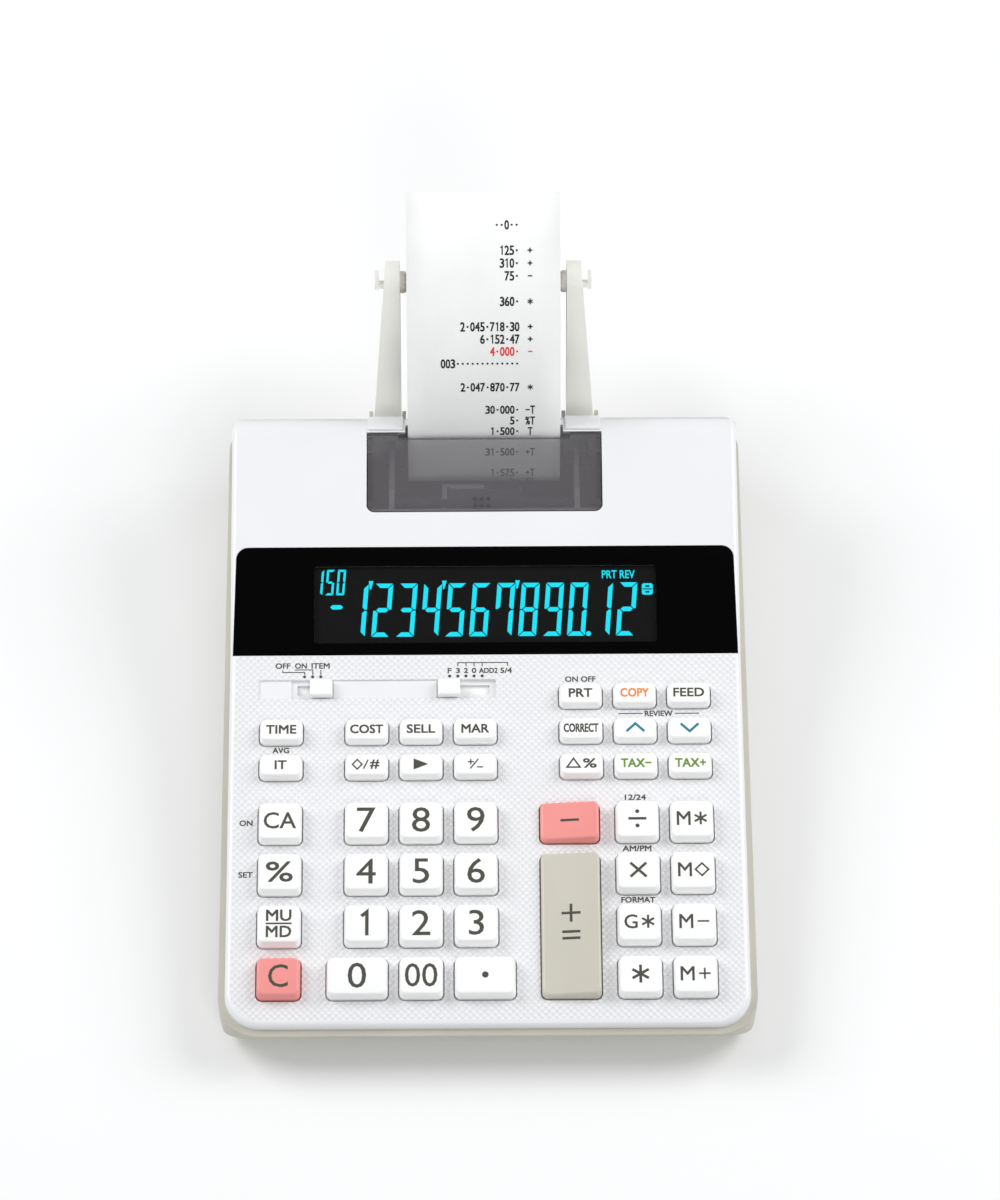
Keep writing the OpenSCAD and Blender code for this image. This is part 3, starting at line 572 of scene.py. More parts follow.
def stroke(points, thickness, depth=0.03, closed=False):
    # a line of even thickness through the points, with mitred corners
    bm = bmesh.new()
    count = len(points)
    sides = ([], [])
    for i, (x, y) in enumerate(points):
        before = points[(i - 1) % count] if closed or i else None
        after = points[(i + 1) % count] if closed or i < count - 1 else None
        ahead = Vector((after[0] - x, after[1] - y)).normalized() if after else None
        behind = Vector((x - before[0], y - before[1])).normalized() if before else None
        heading = ((ahead or behind) + (behind or ahead)).normalized()
        reach = thickness / 2 / max(heading.dot(ahead or behind), 0.3)
        for side, turn in zip(sides, (1, -1)):
            step = reach * turn
            side.append(bm.verts.new((x - heading.y * step, y + heading.x * step, -depth / 2)))
    for i in range(count if closed else count - 1):
        j = (i + 1) % count
        bm.faces.new((sides[0][i], sides[1][i], sides[1][j], sides[0][j]))
    extruded(bm, bm.faces[:], (0, 0, depth))
    return facingOut(bm)


def dot(radius, depth=0.03, segments=20):
    bm = bmesh.new()
    bmesh.ops.create_cone(bm, cap_ends=True, segments=segments, radius1=radius, radius2=radius, depth=depth)
    return bm


def polygonPatch(points, depth=0.03):
    return outlineBlock(points, -depth / 2, depth / 2)


def layOn(bm, surface, lift=0.015):
    # lets the legend's points down on a surface below them
    for v in bm.verts:
        hit = surface.ray_cast(Vector((v.co.x, v.co.y, 60)), Vector((0, 0, -1)))[0]
        v.co.z += (hit.z if hit else 0) + lift
    return bm


print("shaping tools ready")

# ---- the camera and the light
view = {"elevation": 58.5, "turn": 0.37, "distance": 1.75, "aimY": 0.0182, "aimZ": 0.040, "focalPixels": 4673,
        "frameHeight": 1200, "sensorHeight": 24, "shiftRight": 0.0124}


def addCamera():
    tilt = math.radians(view["elevation"])
    turn = math.radians(view["turn"])
    data = bpy.data.cameras.new("deskView")
    data.sensor_fit = "VERTICAL"
    data.sensor_height = view["sensorHeight"]
    data.lens = view["focalPixels"] / view["frameHeight"] * view["sensorHeight"]
    data.shift_x = view["shiftRight"]
    camera = linked("deskView", data)
    back = view["distance"] * math.cos(tilt)
    camera.location = (-back * math.sin(turn), view["aimY"] - back * math.cos(turn),
                       view["aimZ"] + view["distance"] * math.sin(tilt))
    camera.rotation_euler = (math.radians(90) - tilt, 0, -turn)
    bpy.context.scene.camera = camera


lamps = {
    # name: place, aim, size, watts
    "left": ((-1.15, 0.45, 1.05), (0, 0.02, 0.03), 0.9, 13.6),
    "right": ((1.15, 0.4, 1.0), (0, 0.02, 0.03), 0.9, 12.4),
    "front": ((0.25, -1.35, 1.15), (0, 0, 0.05), 0.7, 5.5),
}
room = ((0.96, 0.98, 1.0, 1), 0.44)  # colour and strength of the light all round
backdrop = ((1, 1, 1, 1), 1.0)  # of what the camera sees behind the floor
floorFinish = {"colour": (234, 234, 234), "lift": 0.075, "half": 3}


def addLight():
    world = bpy.data.worlds.new("studio")
    bpy.context.scene.world = world
    world.use_nodes = True
    nodes = world.node_tree.nodes
    links = world.node_tree.links
    nodes.clear()
    mix = nodes.new("ShaderNodeMixShader")
    for i, (colour, strength) in enumerate((room, backdrop)):
        background = nodes.new("ShaderNodeBackground")
        background.inputs["Color"].default_value = colour
        background.inputs["Strength"].default_value = strength
        links.new(background.outputs[0], mix.inputs[1 + i])
    links.new(nodes.new("ShaderNodeLightPath").outputs["Is Camera Ray"], mix.inputs["Fac"])
    links.new(mix.outputs[0], nodes.new("ShaderNodeOutputWorld").inputs["Surface"])
    for name, (spot, aim, size, watts) in lamps.items():
        data = bpy.data.lights.new(name, "AREA")
        data.shape = "SQUARE"
        data.size = size
        data.energy = watts
        lamp = linked(name, data)
        lamp.location = spot
        lamp.rotation_euler = (Vector(aim) - Vector(spot)).to_track_quat("-Z", "Y").to_euler()


def addFloor():
    bm = bmesh.new()
    bmesh.ops.create_grid(bm, x_segments=1, y_segments=1, size=floorFinish["half"])
    floor = linked("floor", meshOf(moved(bm, 0, 0, cadBox[0].z), "floor"))
    floor.data.materials.append(paleFloor("floorPaint", floorFinish["colour"], floorFinish["lift"]))


addCamera()
addLight()
addFloor()
bpy.context.scene.view_settings.view_transform = "Standard"
print("camera, lamps and floor ready")

# ---- keys
keyPlan = {
    "pitch": 20.008, "width": 15.8, "depth": 15.2, "height": 4.5, "smallDepth": 9.2, "smallHeight": 3.8,
    "smallPitch": 14.05, "smallGap": 22.2, "wideExtra": 6.2, "operatorWidth": 21.5, "operatorRise": 2.4,
    "firstRow": 17.2, "digitsX": -44.015, "leftX": -75.526, "rightX": 35.012, "operatorX": 30.31,
    "gap": 0.5, "corner": 2, "skirt": 1.2, "sideIn": 0.6, "rearIn": 0.5, "frontIn": 1.0,
    "topRound": 0.6, "flangeTop": -2.5, "flange": 1.0, "flangeReach": 1.4, "flangeCorner": 0.8,
    "stemEnd": -4.1, "stemIn": 2.2, "stemDepth": 1.2, "lowEdge": 0.7, "legendUp": 0.3,
}
digitNames = ("zero", "one", "two", "three", "four", "five", "six", "seven", "eight", "nine")


def row(i):
    return keyPlan["firstRow"] + i * keyPlan["pitch"]


def smallRow(i):
    return row(3) + keyPlan["smallGap"] + i * keyPlan["smallPitch"]


def column(start, i):
    return keyPlan[start] + i * keyPlan["pitch"]


def keyLayout():
    # name: centre across, centre up the slope, width, depth, height, rise, finish
    w, d, h = keyPlan["width"], keyPlan["depth"], keyPlan["height"]
    small = (w, keyPlan["smallDepth"], keyPlan["smallHeight"], 0, keyWhite)
    large = (w, d, h, 0, keyWhite)
    wide = (w + keyPlan["wideExtra"], d, h, 0, keyWhite)
    rise = keyPlan["operatorRise"]
    operator = (keyPlan["operatorWidth"], d, h - rise, rise, keyPink)
    operatorTall = (keyPlan["operatorWidth"], d + 2 * keyPlan["pitch"], h - rise, rise, keyBeige)
    layout = {}

    def lay(names, shape, start, rowAt, first=0, inRow=1, across=0):
        # a block of keys, named row by row from the front
        for i, name in enumerate(names):
            layout["key_" + name] = (column(start, across + i % inRow), rowAt(first + i // inRow)) + shape

    lay(digitNames[1:], large, "digitsX", row, 1, 3)
    layout["key_zero"] = (column("digitsX", 0) - keyPlan["wideExtra"] / 2, row(0)) + wide
    lay(("double_zero",), large, "digitsX", row, across=1)
    layout["key_decimal_point"] = (column("digitsX", 2) + keyPlan["wideExtra"] / 2, row(0)) + wide
    lay(("clear",), (w, d, h, 0, keyPink), "leftX", row)
    lay(("markup", "percent", "clear_all"), large, "leftX", row, 1)
    lay(("item_total", "time"), small, "leftX", smallRow)
    lay(("plus_equals",), operatorTall, "operatorX", row, 1)
    lay(("minus",), operator, "operatorX", row, 3)
    lay(("total", "grand_total", "multiply", "divide"), large, "rightX", row, across=1)
    lay(("memory_plus", "memory_minus", "memory_subtotal", "memory_total"), large, "rightX", row, across=2)
    lay(("non_add", "backspace", "sign_change", "cost", "sell", "margin"), small, "digitsX", smallRow,
        inRow=3)
    lay(("delta_percent", "tax_minus", "tax_plus", "correct", "review_up", "review_down", "print", "copy",
         "paper_feed"), small, "rightX", smallRow, inRow=3)
    return layout


keys = keyLayout()


def capShape(width, depth, height, rise):
    # a cap: upright skirt, four tapering sides, softened top edge
    bm = slab(width, depth, keyPlan["flangeTop"] - keyPlan["flange"], keyPlan["skirt"], keyPlan["corner"], 6)
    verts = extruded(bm, [topOf(bm)], (0, 0, height - keyPlan["skirt"]))
    inX = (width - 2 * keyPlan["sideIn"]) / width
    inY = (depth - keyPlan["frontIn"] - keyPlan["rearIn"]) / depth
    bmesh.ops.scale(bm, vec=(inX, inY, 1), verts=verts)
    bmesh.ops.translate(bm, vec=(0, (keyPlan["frontIn"] - keyPlan["rearIn"]) / 2, 0), verts=verts)
    for v in verts:
        v.co.z += rise * (v.co.x / width + 0.5)
    if rise:
        # the skirt keeps below a low left edge
        for v in bm.verts:
            if abs(v.co.z - keyPlan["skirt"]) < 1e-6:
                v.co.z = min(keyPlan["skirt"], height - keyPlan["lowEdge"])
    softenEdges(bm, list(topOf(bm).edges), keyPlan["topRound"], 4)
    reach = 2 * keyPlan["flangeReach"]
    flangeLow = keyPlan["flangeTop"] - keyPlan["flange"]
    joinInto(bm, slab(width + reach, depth + reach, flangeLow, keyPlan["flangeTop"],
                      keyPlan["flangeCorner"], 3))
    joinInto(bm, slab(width - keyPlan["stemIn"], keyPlan["stemDepth"], keyPlan["stemEnd"], flangeLow))
    return bm


def star(radius, thickness):
    bm = bmesh.new()
    for i in range(3):
        x, y = along((0, 0), 90 + 60 * i, radius)
        joinInto(bm, stroke([(-x, -y), (x, y)], thickness, 0.03 + 0.002 * i))
    return bm


def diamond(halfWidth, halfHeight, thickness):
    corners = [(-halfWidth, 0), (0, halfHeight), (halfWidth, 0), (0, -halfHeight)]
    return stroke(corners, thickness, closed=True)


def minusMark(size, thickness):
    return stroke([(-size / 2, 0), (size / 2, 0)], thickness)


def plusMark(size, thickness):
    return joined(minusMark(size, thickness), stroke([(0, -size / 2), (0, size / 2)], thickness, 0.032))


def withLetter(letter, mark, gap=6.2):
    # a capital with a mark to its right
    capital = lettering(letter, legendSize["memory"], weight=legendWeight["capital"])
    return joined(moved(capital, -gap / 2, 0), moved(mark, gap / 2, 0))


legendSize = {"digit": 9.6, "digitStretch": 1.1, "memory": 5.3, "word": 3.3, "stroke": 1.0}
legendWeight = {"digit": 0.02, "capital": 0.06, "word": 0.11, "label": 0.07}
legendInks = {"copy": orangeInk, "tax_plus": greenInk, "tax_minus": greenInk, "review_up": tealInk,
              "review_down": tealInk}  # the rest are dark
wordLegends = {
    # key: word, width
    "item_total": ("IT", 4.2), "time": ("TIME", 11.0), "cost": ("COST", 12.0), "sell": ("SELL", 10.3),
    "margin": ("MAR", 10.0), "print": ("PRT", 8.5), "paper_feed": ("FEED", 11.2),
    "correct": ("CORRECT", 12.6), "copy": ("COPY", 10.4), "tax_plus": ("TAX+", 11.2),
    "tax_minus": ("TAX−", 11.0),
}


def legendShapes():
    # key, without its prefix: shape
    thick, tall = legendSize["stroke"], legendSize["digit"] / 2
    digit, capital, word = (legendWeight[kind] for kind in ("digit", "capital", "word"))
    shapes = {}
    for name, (text, width) in wordLegends.items():
        shapes[name] = lettering(text, legendSize["word"], width, word)
    for i, name in enumerate(digitNames):
        shapes[name] = lettering(str(i), legendSize["digit"], weight=digit)
        bmesh.ops.scale(shapes[name], verts=shapes[name].verts, vec=(legendSize["digitStretch"], 1, 1))
    shapes.update({
        # a one with a flag, which the built-in font's lacks
        "one": moved(stroke([(-1.9, tall - 2.2), (0.1, tall - 0.5), (0.1, -tall)], 1.25), 0.3, 0),
        "double_zero": lettering("00", 8.9, 11.7, digit),
        "decimal_point": dot(1.2),
        "clear": lettering("C", 8.7, 7.1, digit),
        "clear_all": lettering("CA", 6.3, 11.7, capital),
        "percent": lettering("%", 7.7, 9.6, word),
        "markup": joined(moved(lettering("MU", 4.2, 9.0, word), 0, 3.1),
                         moved(lettering("MD", 4.2, 9.0, word), 0, -3.1), minusMark(9.4, 0.65)),
        "review_up": stroke([(-3.3, -1.5), (0, 1.6), (3.3, -1.5)], 0.95),
        "review_down": stroke([(-3.3, 1.5), (0, -1.6), (3.3, 1.5)], 0.95),
        "delta_percent": joined(moved(stroke([(-2.4, -1.6), (0, 1.9), (2.4, -1.6)], 0.6, closed=True), -3, 0),
                                moved(lettering("%", 3.6, 4.8, word), 3, 0)),
        "non_add": joined(moved(diamond(1.75, 1.9, 0.55), -3.4, 0),
                          stroke([(-1.1, -1.8), (0.6, 1.8)], 0.5, 0.032),
                          moved(lettering("#", 3.5, 3.3, word), 3, 0)),
        "backspace": polygonPatch([(-2.7, -2.2), (2.7, 0), (-2.7, 2.2)]),
        "sign_change": joined(moved(plusMark(2.2, 0.5), -1.7, 0.8),
                              stroke([(-1.9, -1.9), (1.1, 1.9)], 0.5, 0.036),
                              moved(minusMark(2.2, 0.5), 1.7, -1.3)),
        "total": star(3.4, thick),
        "grand_total": withLetter("G", star(2.5, 0.8)),
        "memory_total": withLetter("M", star(2.5, 0.8)),
        "memory_subtotal": withLetter("M", diamond(2.4, 2.4, 0.65)),
        "memory_minus": withLetter("M", minusMark(4.2, 0.65)),
        "memory_plus": withLetter("M", plusMark(4.2, 0.65)),
        "multiply": joined(stroke([(-2.9, -2.7), (2.9, 2.7)], thick),
                           stroke([(-2.9, 2.7), (2.9, -2.7)], thick, 0.034)),
        "divide": joined(minusMark(6.6, thick), moved(dot(0.75), 0, 2.8), moved(dot(0.75), 0, -2.8)),
        "minus": minusMark(6.7, 0.95),
        "plus_equals": joined(moved(plusMark(6.9, thick), 0, 3.9), moved(minusMark(6.5, thick), 0, -3.3),
                              moved(minusMark(6.5, thick), 0, -5.8)),
    })
    return shapes


def makeKeys():
    shapes = legendShapes()
    for name, (x, s, width, depth, height, rise, finish) in keys.items():
        bm = capShape(width, depth, height, rise)
        surface = BVHTree.FromBMesh(bm)
        spot = keySlope @ Matrix.Translation((x, s, 0))
        place(bm, spot)
        key = name.replace("key_", "")
        cap = finished(bm, "cap_" + key, [finish], name, 40)
        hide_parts(name)
        shape = shapes[key]
        layOn(moved(shape, 0, keyPlan["legendUp"]), surface)
        place(shape, spot)
        finished(shape, "legend_" + key, [legendInks.get(key, darkInk)], name)
    print("keys made:", len(keys))


# ---- upper shell
tape = {
    "width": 57.5, "thickness": 0.1, "leadSlope": 68, "stripLength": 92.5, "curl": 112, "rollRadius": 22,
    "run": 20, "wrap": 7.27, "exitPast": 2.2, "exitUp": 0.7, "coreOut": 6.4, "coreIn": 3.86, "bend": 14,
    "inletIn": 1.5, "inletUp": 5.4, "webLift": 0.27,
}
exitAlong = case["deckLength"] + tape["exitPast"]
exitPoint = along(along(deckStart, case["deckTilt"], exitAlong), case["deckTilt"] + 90, tape["exitUp"])
leavePoint = along(exitPoint, tape["leadSlope"] + 180, tape["run"])
platenCentre = along(leavePoint, tape["leadSlope"] - 90, tape["wrap"])
inletPoint = (coverBack + tape["inletIn"], rimAt(coverBack) + tape["inletUp"])
curlCentre = along(exitPoint, tape["leadSlope"] - 90, tape["curl"])
webRadius = tape["rollRadius"] + tape["webLift"]
lid = {"width": 87.8, "from": 14.3, "thickness": 2, "earEnd": 45.2, "gap": 0.4, "pinIn": 2.9, "pinDown": 1.9}
lidPivot = (lid["earEnd"] - lid["pinIn"], -lid["pinDown"])
# the seat reaches as far back as the lid's lower corner swings
seatEnd = lid["earEnd"] + math.hypot(lid["pinIn"], lid["pinDown"]) - lid["pinIn"] + 0.2
seat = {"play": 0.1, "shelfSide": 2, "shelfDepth": 3, "shelfThickness": 1.4, "rest": 1.6, "corner": 2.9,
        "rearCorner": 0.4, "hingeWidth": 3.6, "hingeDepth": 6.4, "hingeSide": 1.7, "hingePast": 0.2,
        "hingeDown": 2.6, "hingeUp": 1}
opening = {"slotSide": 1, "slotDepth": 6.4, "slotPast": 2.4, "slotCorner": 0.5, "inletSide": 0.6,
           "inletHigh": 2.2, "inletFrom": -5, "inletTo": 3}
rearBlock = {"proud": 0.8, "sunk": 0.6, "startPast": 2.2, "endUp": 2, "inside": 1.75, "round": 0.35}
channel = {"from": -84.23, "to": 3.7, "deep": 0.6, "depth": 7.6, "corner": 0.8, "aboveRow": 3.8,
           "bedDeep": 1.3, "bedDepth": 7.2, "bedCorner": 0.6, "slotCorner": 0.3}
knob = {"width": 8.4, "depth": 6.6, "height": 2.6, "low": -1.15, "corner": 0.9, "round": 0.9, "bedGap": 0.5,
        "neck": 4, "neckDepth": 3.2, "neckGap": 0.4, "neckEnd": -2.7, "rib": 0.55, "ribPitch": 1.7,
        "ribIn": 1.2, "ribHeight": 0.2, "plateDepth": 6, "plateFrom": -3.7, "plateTo": -2.5,
        "plateCorner": 0.8}
knobRuns = {"item_switch_knob": (-61.021, -6.4, 0), "decimal_switch_knob": (-13.605, 0, 12.6)}
window = {"side": 1.1, "taper": 1.0, "corner": 4.5, "thickness": 1.5, "gap": 0.15}
glass = {"width": 127.4, "depth": 29.6, "from": 4.7, "corner": 0.9}
glassMiddle = (0, glass["from"] + glass["depth"] / 2)
# how far each cut through the shell reaches below and above its slope
through = {"keys": (-8, 6), "channel": 5, "slots": (-8, 4), "seat": 8, "bay": (-18, 10), "paper": (-18, 16),
           "window": 6, "glass": (-8, 4), "inside": 30}
channelMiddle = smallRow(2) + channel["aboveRow"]


def coverSide(inset, drop):
    fall = inset * 1.03
    y0 = keyStart[0] + inset
    y1 = coverBack - inset
    return ([(y0, rimAt(y0) - drop), (y0, keyStart[1] - fall), (panelStart[0], panelStart[1] - fall),
             (deckStart[0], deckStart[1] - fall)]
            + arcPoints(rollCentre, case["rearRoll"] - inset, 90 + case["deckTilt"], 0, 12)
            + [(y1, rimAt(y1) - drop)])


def coverBlock(inset, drop):
    y0 = keyStart[0] + inset
    y1 = coverBack - inset
    corner = case["cornerRadius"] - case["ledge"] - inset
    plan = loose(slab(coverWidth - 2 * inset, y1 - y0, 0, 90, corner, 12, (0, (y0 + y1) / 2),
                      case["rearCorner"] - inset))
    cut(plan, loose(sideCut(coverSide(inset, drop), -120, 120)), "INTERSECT")
    return plan


def windowPoints(grow):
    front = coverWidth / 2 - window["side"] + grow
    rear = coverWidth / 2 - window["side"] - window["taper"] - window["corner"]
    deep = case["panelLength"] - window["corner"]
    corner = window["corner"] + grow
    return ([(-front, 0), (front, 0)] + arcPoints((rear, deep), corner, 0, 90, 8)
            + arcPoints((-rear, deep), corner, 90, 180, 8))


def hollowShell():
    # the outer block with its upper rims rounded, less its inside
    bm = shapeOf(coverBlock(0, 0))
    rims = []
    for edge in bm.edges:
        lean = sorted(f.normal.z for f in edge.link_faces)
        if len(lean) == 2 and abs(lean[0]) < 0.05 and lean[1] > 0.25:
            rims.append(edge)
    bmesh.ops.bevel(bm, geom=rims, offset=case["edgeRadius"], offset_type="OFFSET", segments=5, profile=0.5,
                    affect="EDGES", material=-1, clamp_overlap=False)
    shell = loose(bm)
    cut(shell, coverBlock(case["wall"], through["inside"]))
    return shell


def cutKeyArea(shell):
    holes, beds, slots = bmesh.new(), bmesh.new(), bmesh.new()
    gap = keyPlan["gap"]
    for x, s, width, depth in (key[:4] for key in keys.values()):
        joinInto(holes, slab(width + 2 * gap, depth + 2 * gap, *through["keys"], keyPlan["corner"] + gap, 5,
                             (x, s)))
    joinInto(holes, slab(channel["to"] - channel["from"], channel["depth"], -channel["deep"],
                         through["channel"], channel["corner"], 4,
                         ((channel["to"] + channel["from"]) / 2, channelMiddle)))
    for x, low, high in knobRuns.values():
        spot = (x + (low + high) / 2, channelMiddle)
        bed = high - low + knob["width"] + 2 * knob["bedGap"]
        slot = high - low + knob["neck"] + 2 * knob["neckGap"]
        joinInto(beds, slab(bed, channel["bedDepth"], -channel["bedDeep"], through["channel"],
                            channel["bedCorner"], 3, spot))
        joinInto(slots, slab(slot, knob["neckDepth"] + 2 * knob["neckGap"], *through["slots"],
                             channel["slotCorner"], 2, spot))
    for bm in (holes, beds, slots):
        cut(shell, loose(bm, keySlope))


def cutLidSeat(shell):
    # the shelf and the hinge blocks come first, then the seat and the bay below it
    bay = lid["width"] + 2 * lid["gap"]
    start, floor = lid["from"] - lid["gap"], -lid["thickness"] - seat["play"]
    shelf = slab(bay + 2 * seat["shelfSide"], seat["shelfDepth"], floor - seat["shelfThickness"], floor,
                 at=(0, start + seat["play"]))
    cut(shell, loose(shelf, deckSlope), "UNION")
    for side in (-1, 1):
        spot = (side * (bay / 2 + seat["hingeSide"]), lidPivot[0] + seat["hingePast"])
        hinge = slab(seat["hingeWidth"], seat["hingeDepth"], lidPivot[1] - seat["hingeDown"],
                     lidPivot[1] + seat["hingeUp"], at=spot)
        cut(shell, loose(hinge, deckSlope), "UNION")
    space = slab(bay, seatEnd - start, floor, through["seat"], seat["corner"], 5, (0, (start + seatEnd) / 2),
                 seat["rearCorner"])
    cut(shell, loose(space, deckSlope))
    bayFrom = lid["from"] + seat["rest"]
    below = slab(bay, seatEnd - bayFrom, *through["bay"], at=(0, (seatEnd + bayFrom) / 2))
    cut(shell, loose(below, deckSlope))


def cutPaperWays(shell):
    half = tape["width"] / 2
    middle = exitAlong + opening["slotPast"] - opening["slotDepth"] / 2
    slot = slab(2 * (half + opening["slotSide"]), opening["slotDepth"], *through["paper"],
                opening["slotCorner"], 3, (0, middle))
    cut(shell, loose(slot, deckSlope))
    low, high = inletPoint[1] - opening["inletHigh"], inletPoint[1] + opening["inletHigh"]
    y0, y1 = coverBack + opening["inletFrom"], coverBack + opening["inletTo"]
    inlet = sideCut([(y0, low), (y1, low), (y1, high), (y0, high)], -half - opening["inletSide"],
                    half + opening["inletSide"])
    cut(shell, loose(inlet))


def cutWindow(shell):
    seatOutline = windowPoints(window["gap"])
    cut(shell, loose(outlineBlock(seatOutline, -window["thickness"], through["window"]), panelSlope))
    glassHole = slab(glass["width"], glass["depth"], *through["glass"], glass["corner"], 4, glassMiddle)
    cut(shell, loose(glassHole, panelSlope))


def markFaces(bm, slopeMatrix, height, material):
    # flat faces at one height over a slope get another of the piece's finishes
    up = slopeMatrix.to_3x3() @ Vector((0, 0, 1))
    for face in bm.faces:
        over = (face.calc_center_median() - slopeMatrix.translation).dot(up)
        if face.normal.dot(up) > 0.9999 and abs(over - height) < 0.02:
            face.material_index = material


def makeCover():
    shell = hollowShell()
    for work in (cutKeyArea, cutLidSeat, cutPaperWays, cutWindow):
        work(shell)
    bm = shapeOf(shell)
    markFaces(bm, keySlope, 0, 1)
    # painted shade: the step that the lid lies on, seen through it, takes the printer's grey
    markFaces(bm, deckSlope, -lid["thickness"] - seat["play"], 2)
    place(bm, level)
    cover = finished(bm, "upperShell", [white, embossed, innerGreyAndSeatShade], "root", 28)
    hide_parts("top_cover")
    print("upper shell made")


def makeRearBlocks():
    # the two raised blocks behind the lid's ears
    proud = case["rearRoll"] + rearBlock["proud"]
    first = math.degrees(math.acos((deckEnd[0] + rearBlock["startPast"] - rollCentre[0]) / proud))
    last = math.degrees(math.asin(rearBlock["endUp"] / proud))
    outline = (arcPoints(rollCentre, proud, first, last, 12)
               + arcPoints(rollCentre, case["rearRoll"] - rearBlock["sunk"], last, first, 12))
    inner, outer = tape["width"] / 2 + rearBlock["inside"], lid["width"] / 2
    blocks = joined(sideCut(outline, -outer, -inner), sideCut(outline, inner, outer))
    softenEdges(blocks, sharpEdges(blocks, 50), rearBlock["round"], 3)
    place(blocks, level)
    finished(blocks, "rearBlocks", [white], "root")


makeKeys()
makeCover()
makeRearBlocks()

# ---- display
segment = {"width": 6.7, "height": 20.4, "thick": 1.68, "gap": 0.24, "slant": 4.6, "depth": 0.04}
digitRow = {"first": -51.7, "pitch": 9.12, "low": 7.4, "text": "1'234'567'890.12"}
itemCount = {"first": -63.9, "pitch": 4.1, "low": 23.4, "text": "150"}
itemSegment = {"width": 3.05, "height": 9.8, "thick": 0.85, "gap": 0.1, "slant": 4.6, "depth": 0.04}
display = {"paneLow": 0.1, "paneHigh": 0.05, "margin": 2, "low": -5.2, "face": -1.6, "corner": 0.5,
           "rim": 0.2, "lit": -1.57, "lines": -1.53, "dashAt": (-58.8, 18.8), "wordsAt": (49.8, 30.9)}
icon = {"x": 60.6, "y": 25.2, "width": 4.1, "depth": 4.4, "corner": 0.8, "line": 3.6, "lineHeight": 0.4,
        "key": 1.5, "keyHeight": 0.7, "keyUp": 1.1}
litParts = {"0": "abcdef", "1": "bc", "2": "abged", "3": "abgcd", "4": "fgbc", "5": "afgcd", "6": "afgedc",
            "7": "fabc", "8": "abcdefg", "9": "abcdfg"}


def segmentPiece(part, size):
    # one bar of a digit with mitred ends, in the digit's own box
    w, h, t, gap = size["width"], size["height"], size["thick"], size["gap"]
    half, middle = t / 2, h / 2
    if part == "g":
        points = [(half + gap, middle), (t + gap, middle - half), (w - t - gap, middle - half),
                  (w - half - gap, middle), (w - t - gap, middle + half), (t + gap, middle + half)]
    elif part in "ad":
        points = [(gap, 0), (w - gap, 0), (w - t - gap, t), (t + gap, t)]
    else:
        points = [(0, middle - gap), (0, gap), (t, t + gap), (t, middle - half - gap), (half, middle - gap)]
    if part in "abf":
        points = [(x, h - y) for x, y in reversed(points)]
    if part in "bc":
        points = [(w - x, y) for x, y in reversed(points)]
    return polygonPatch(points, size["depth"])


def slanted(bm, degrees):
    lean = math.tan(math.radians(degrees))
    for v in bm.verts:
        v.co.x += v.co.y * lean
    return bm


def numberShape(text, size, first, pitch, low):
    # marks that follow a digit stand beside it and take no place of their own
    bm = bmesh.new()
    count = -1
    for character in text:
        if character == "'":
            tick = polygonPatch([(-0.1, 0), (0.2, -3.2), (0.75, -3.2), (1.6, 0)], size["depth"])
            joinInto(bm, moved(tick, first + count * pitch + size["width"] + 1.7, low + size["height"] + 1.0))
            continue
        if character == ".":
            point = dot(0.95, size["depth"])
            joinInto(bm, moved(point, first + count * pitch + size["width"] + 1.35, low + 0.8))
            continue
        count += 1
        for part in litParts[character]:
            shape = slanted(segmentPiece(part, size), size["slant"])
            joinInto(bm, moved(shape, first + count * pitch, low))
    return bm


def makeDisplay():
    plate = loose(outlineBlock(windowPoints(0), -window["thickness"], 0))
    cut(plate, loose(slab(glass["width"], glass["depth"], -5, 5, glass["corner"], 4, glassMiddle)))
    bm = shapeOf(plate)
    rims = [e for e in sharpEdges(bm, 50) if min(v.co.z for v in e.verts) > -0.01]
    softenEdges(bm, rims, display["rim"], 2)
    place(bm, panelSlope)
    frameWindow = finished(bm, "windowPlate", [windowBlack], "root")
    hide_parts("display_window")
    pane = slab(glass["width"] - 0.1, glass["depth"] - 0.1, -window["thickness"] + display["paneLow"],
                -display["paneHigh"], glass["corner"], 4, glassMiddle)
    place(pane, panelSlope)
    finished(pane, "windowPane", [windowClear], "root")
    margin = 2 * display["margin"]
    face = slab(glass["width"] + margin, glass["depth"] + margin, display["low"], display["face"],
                display["corner"], 2, glassMiddle)
    place(face, panelSlope)
    panel = finished(face, "displayModule", [lcdFace], "root")
    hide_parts("lcd_module")
    dash = segmentPiece("g", dict(segment, gap=0.1))
    lit = joined(
        numberShape(digitRow["text"], segment, digitRow["first"], digitRow["pitch"], digitRow["low"]),
        numberShape(itemCount["text"], itemSegment, itemCount["first"], itemCount["pitch"], itemCount["low"]),
        moved(dash, display["dashAt"][0], display["dashAt"][1] - segment["height"] / 2),
        moved(lettering("PRT REV", 3.0, 12.2, 0.05, depth=0.04), *display["wordsAt"]),
        slab(icon["width"], icon["depth"], -0.02, 0.02, icon["corner"], 3, (icon["x"], icon["y"])))
    place(moved(lit, 0, 0, display["lit"]), panelSlope)
    finished(lit, "litSegments", [litCyan], "root")
    # the icon's lines are left dark
    gaps = slab(icon["line"], icon["lineHeight"], -0.015, 0.015, at=(icon["x"], icon["y"]))
    for up in (icon["keyUp"], -icon["keyUp"]):
        spot = (icon["x"], icon["y"] + up)
        joinInto(gaps, slab(icon["key"], icon["keyHeight"], -0.015, 0.015, 0.2, 2, spot))
    place(moved(gaps, 0, 0, display["lines"]), panelSlope)
    finished(gaps, "iconLines", [lcdFace], "root")
    print("display made")


makeDisplay()

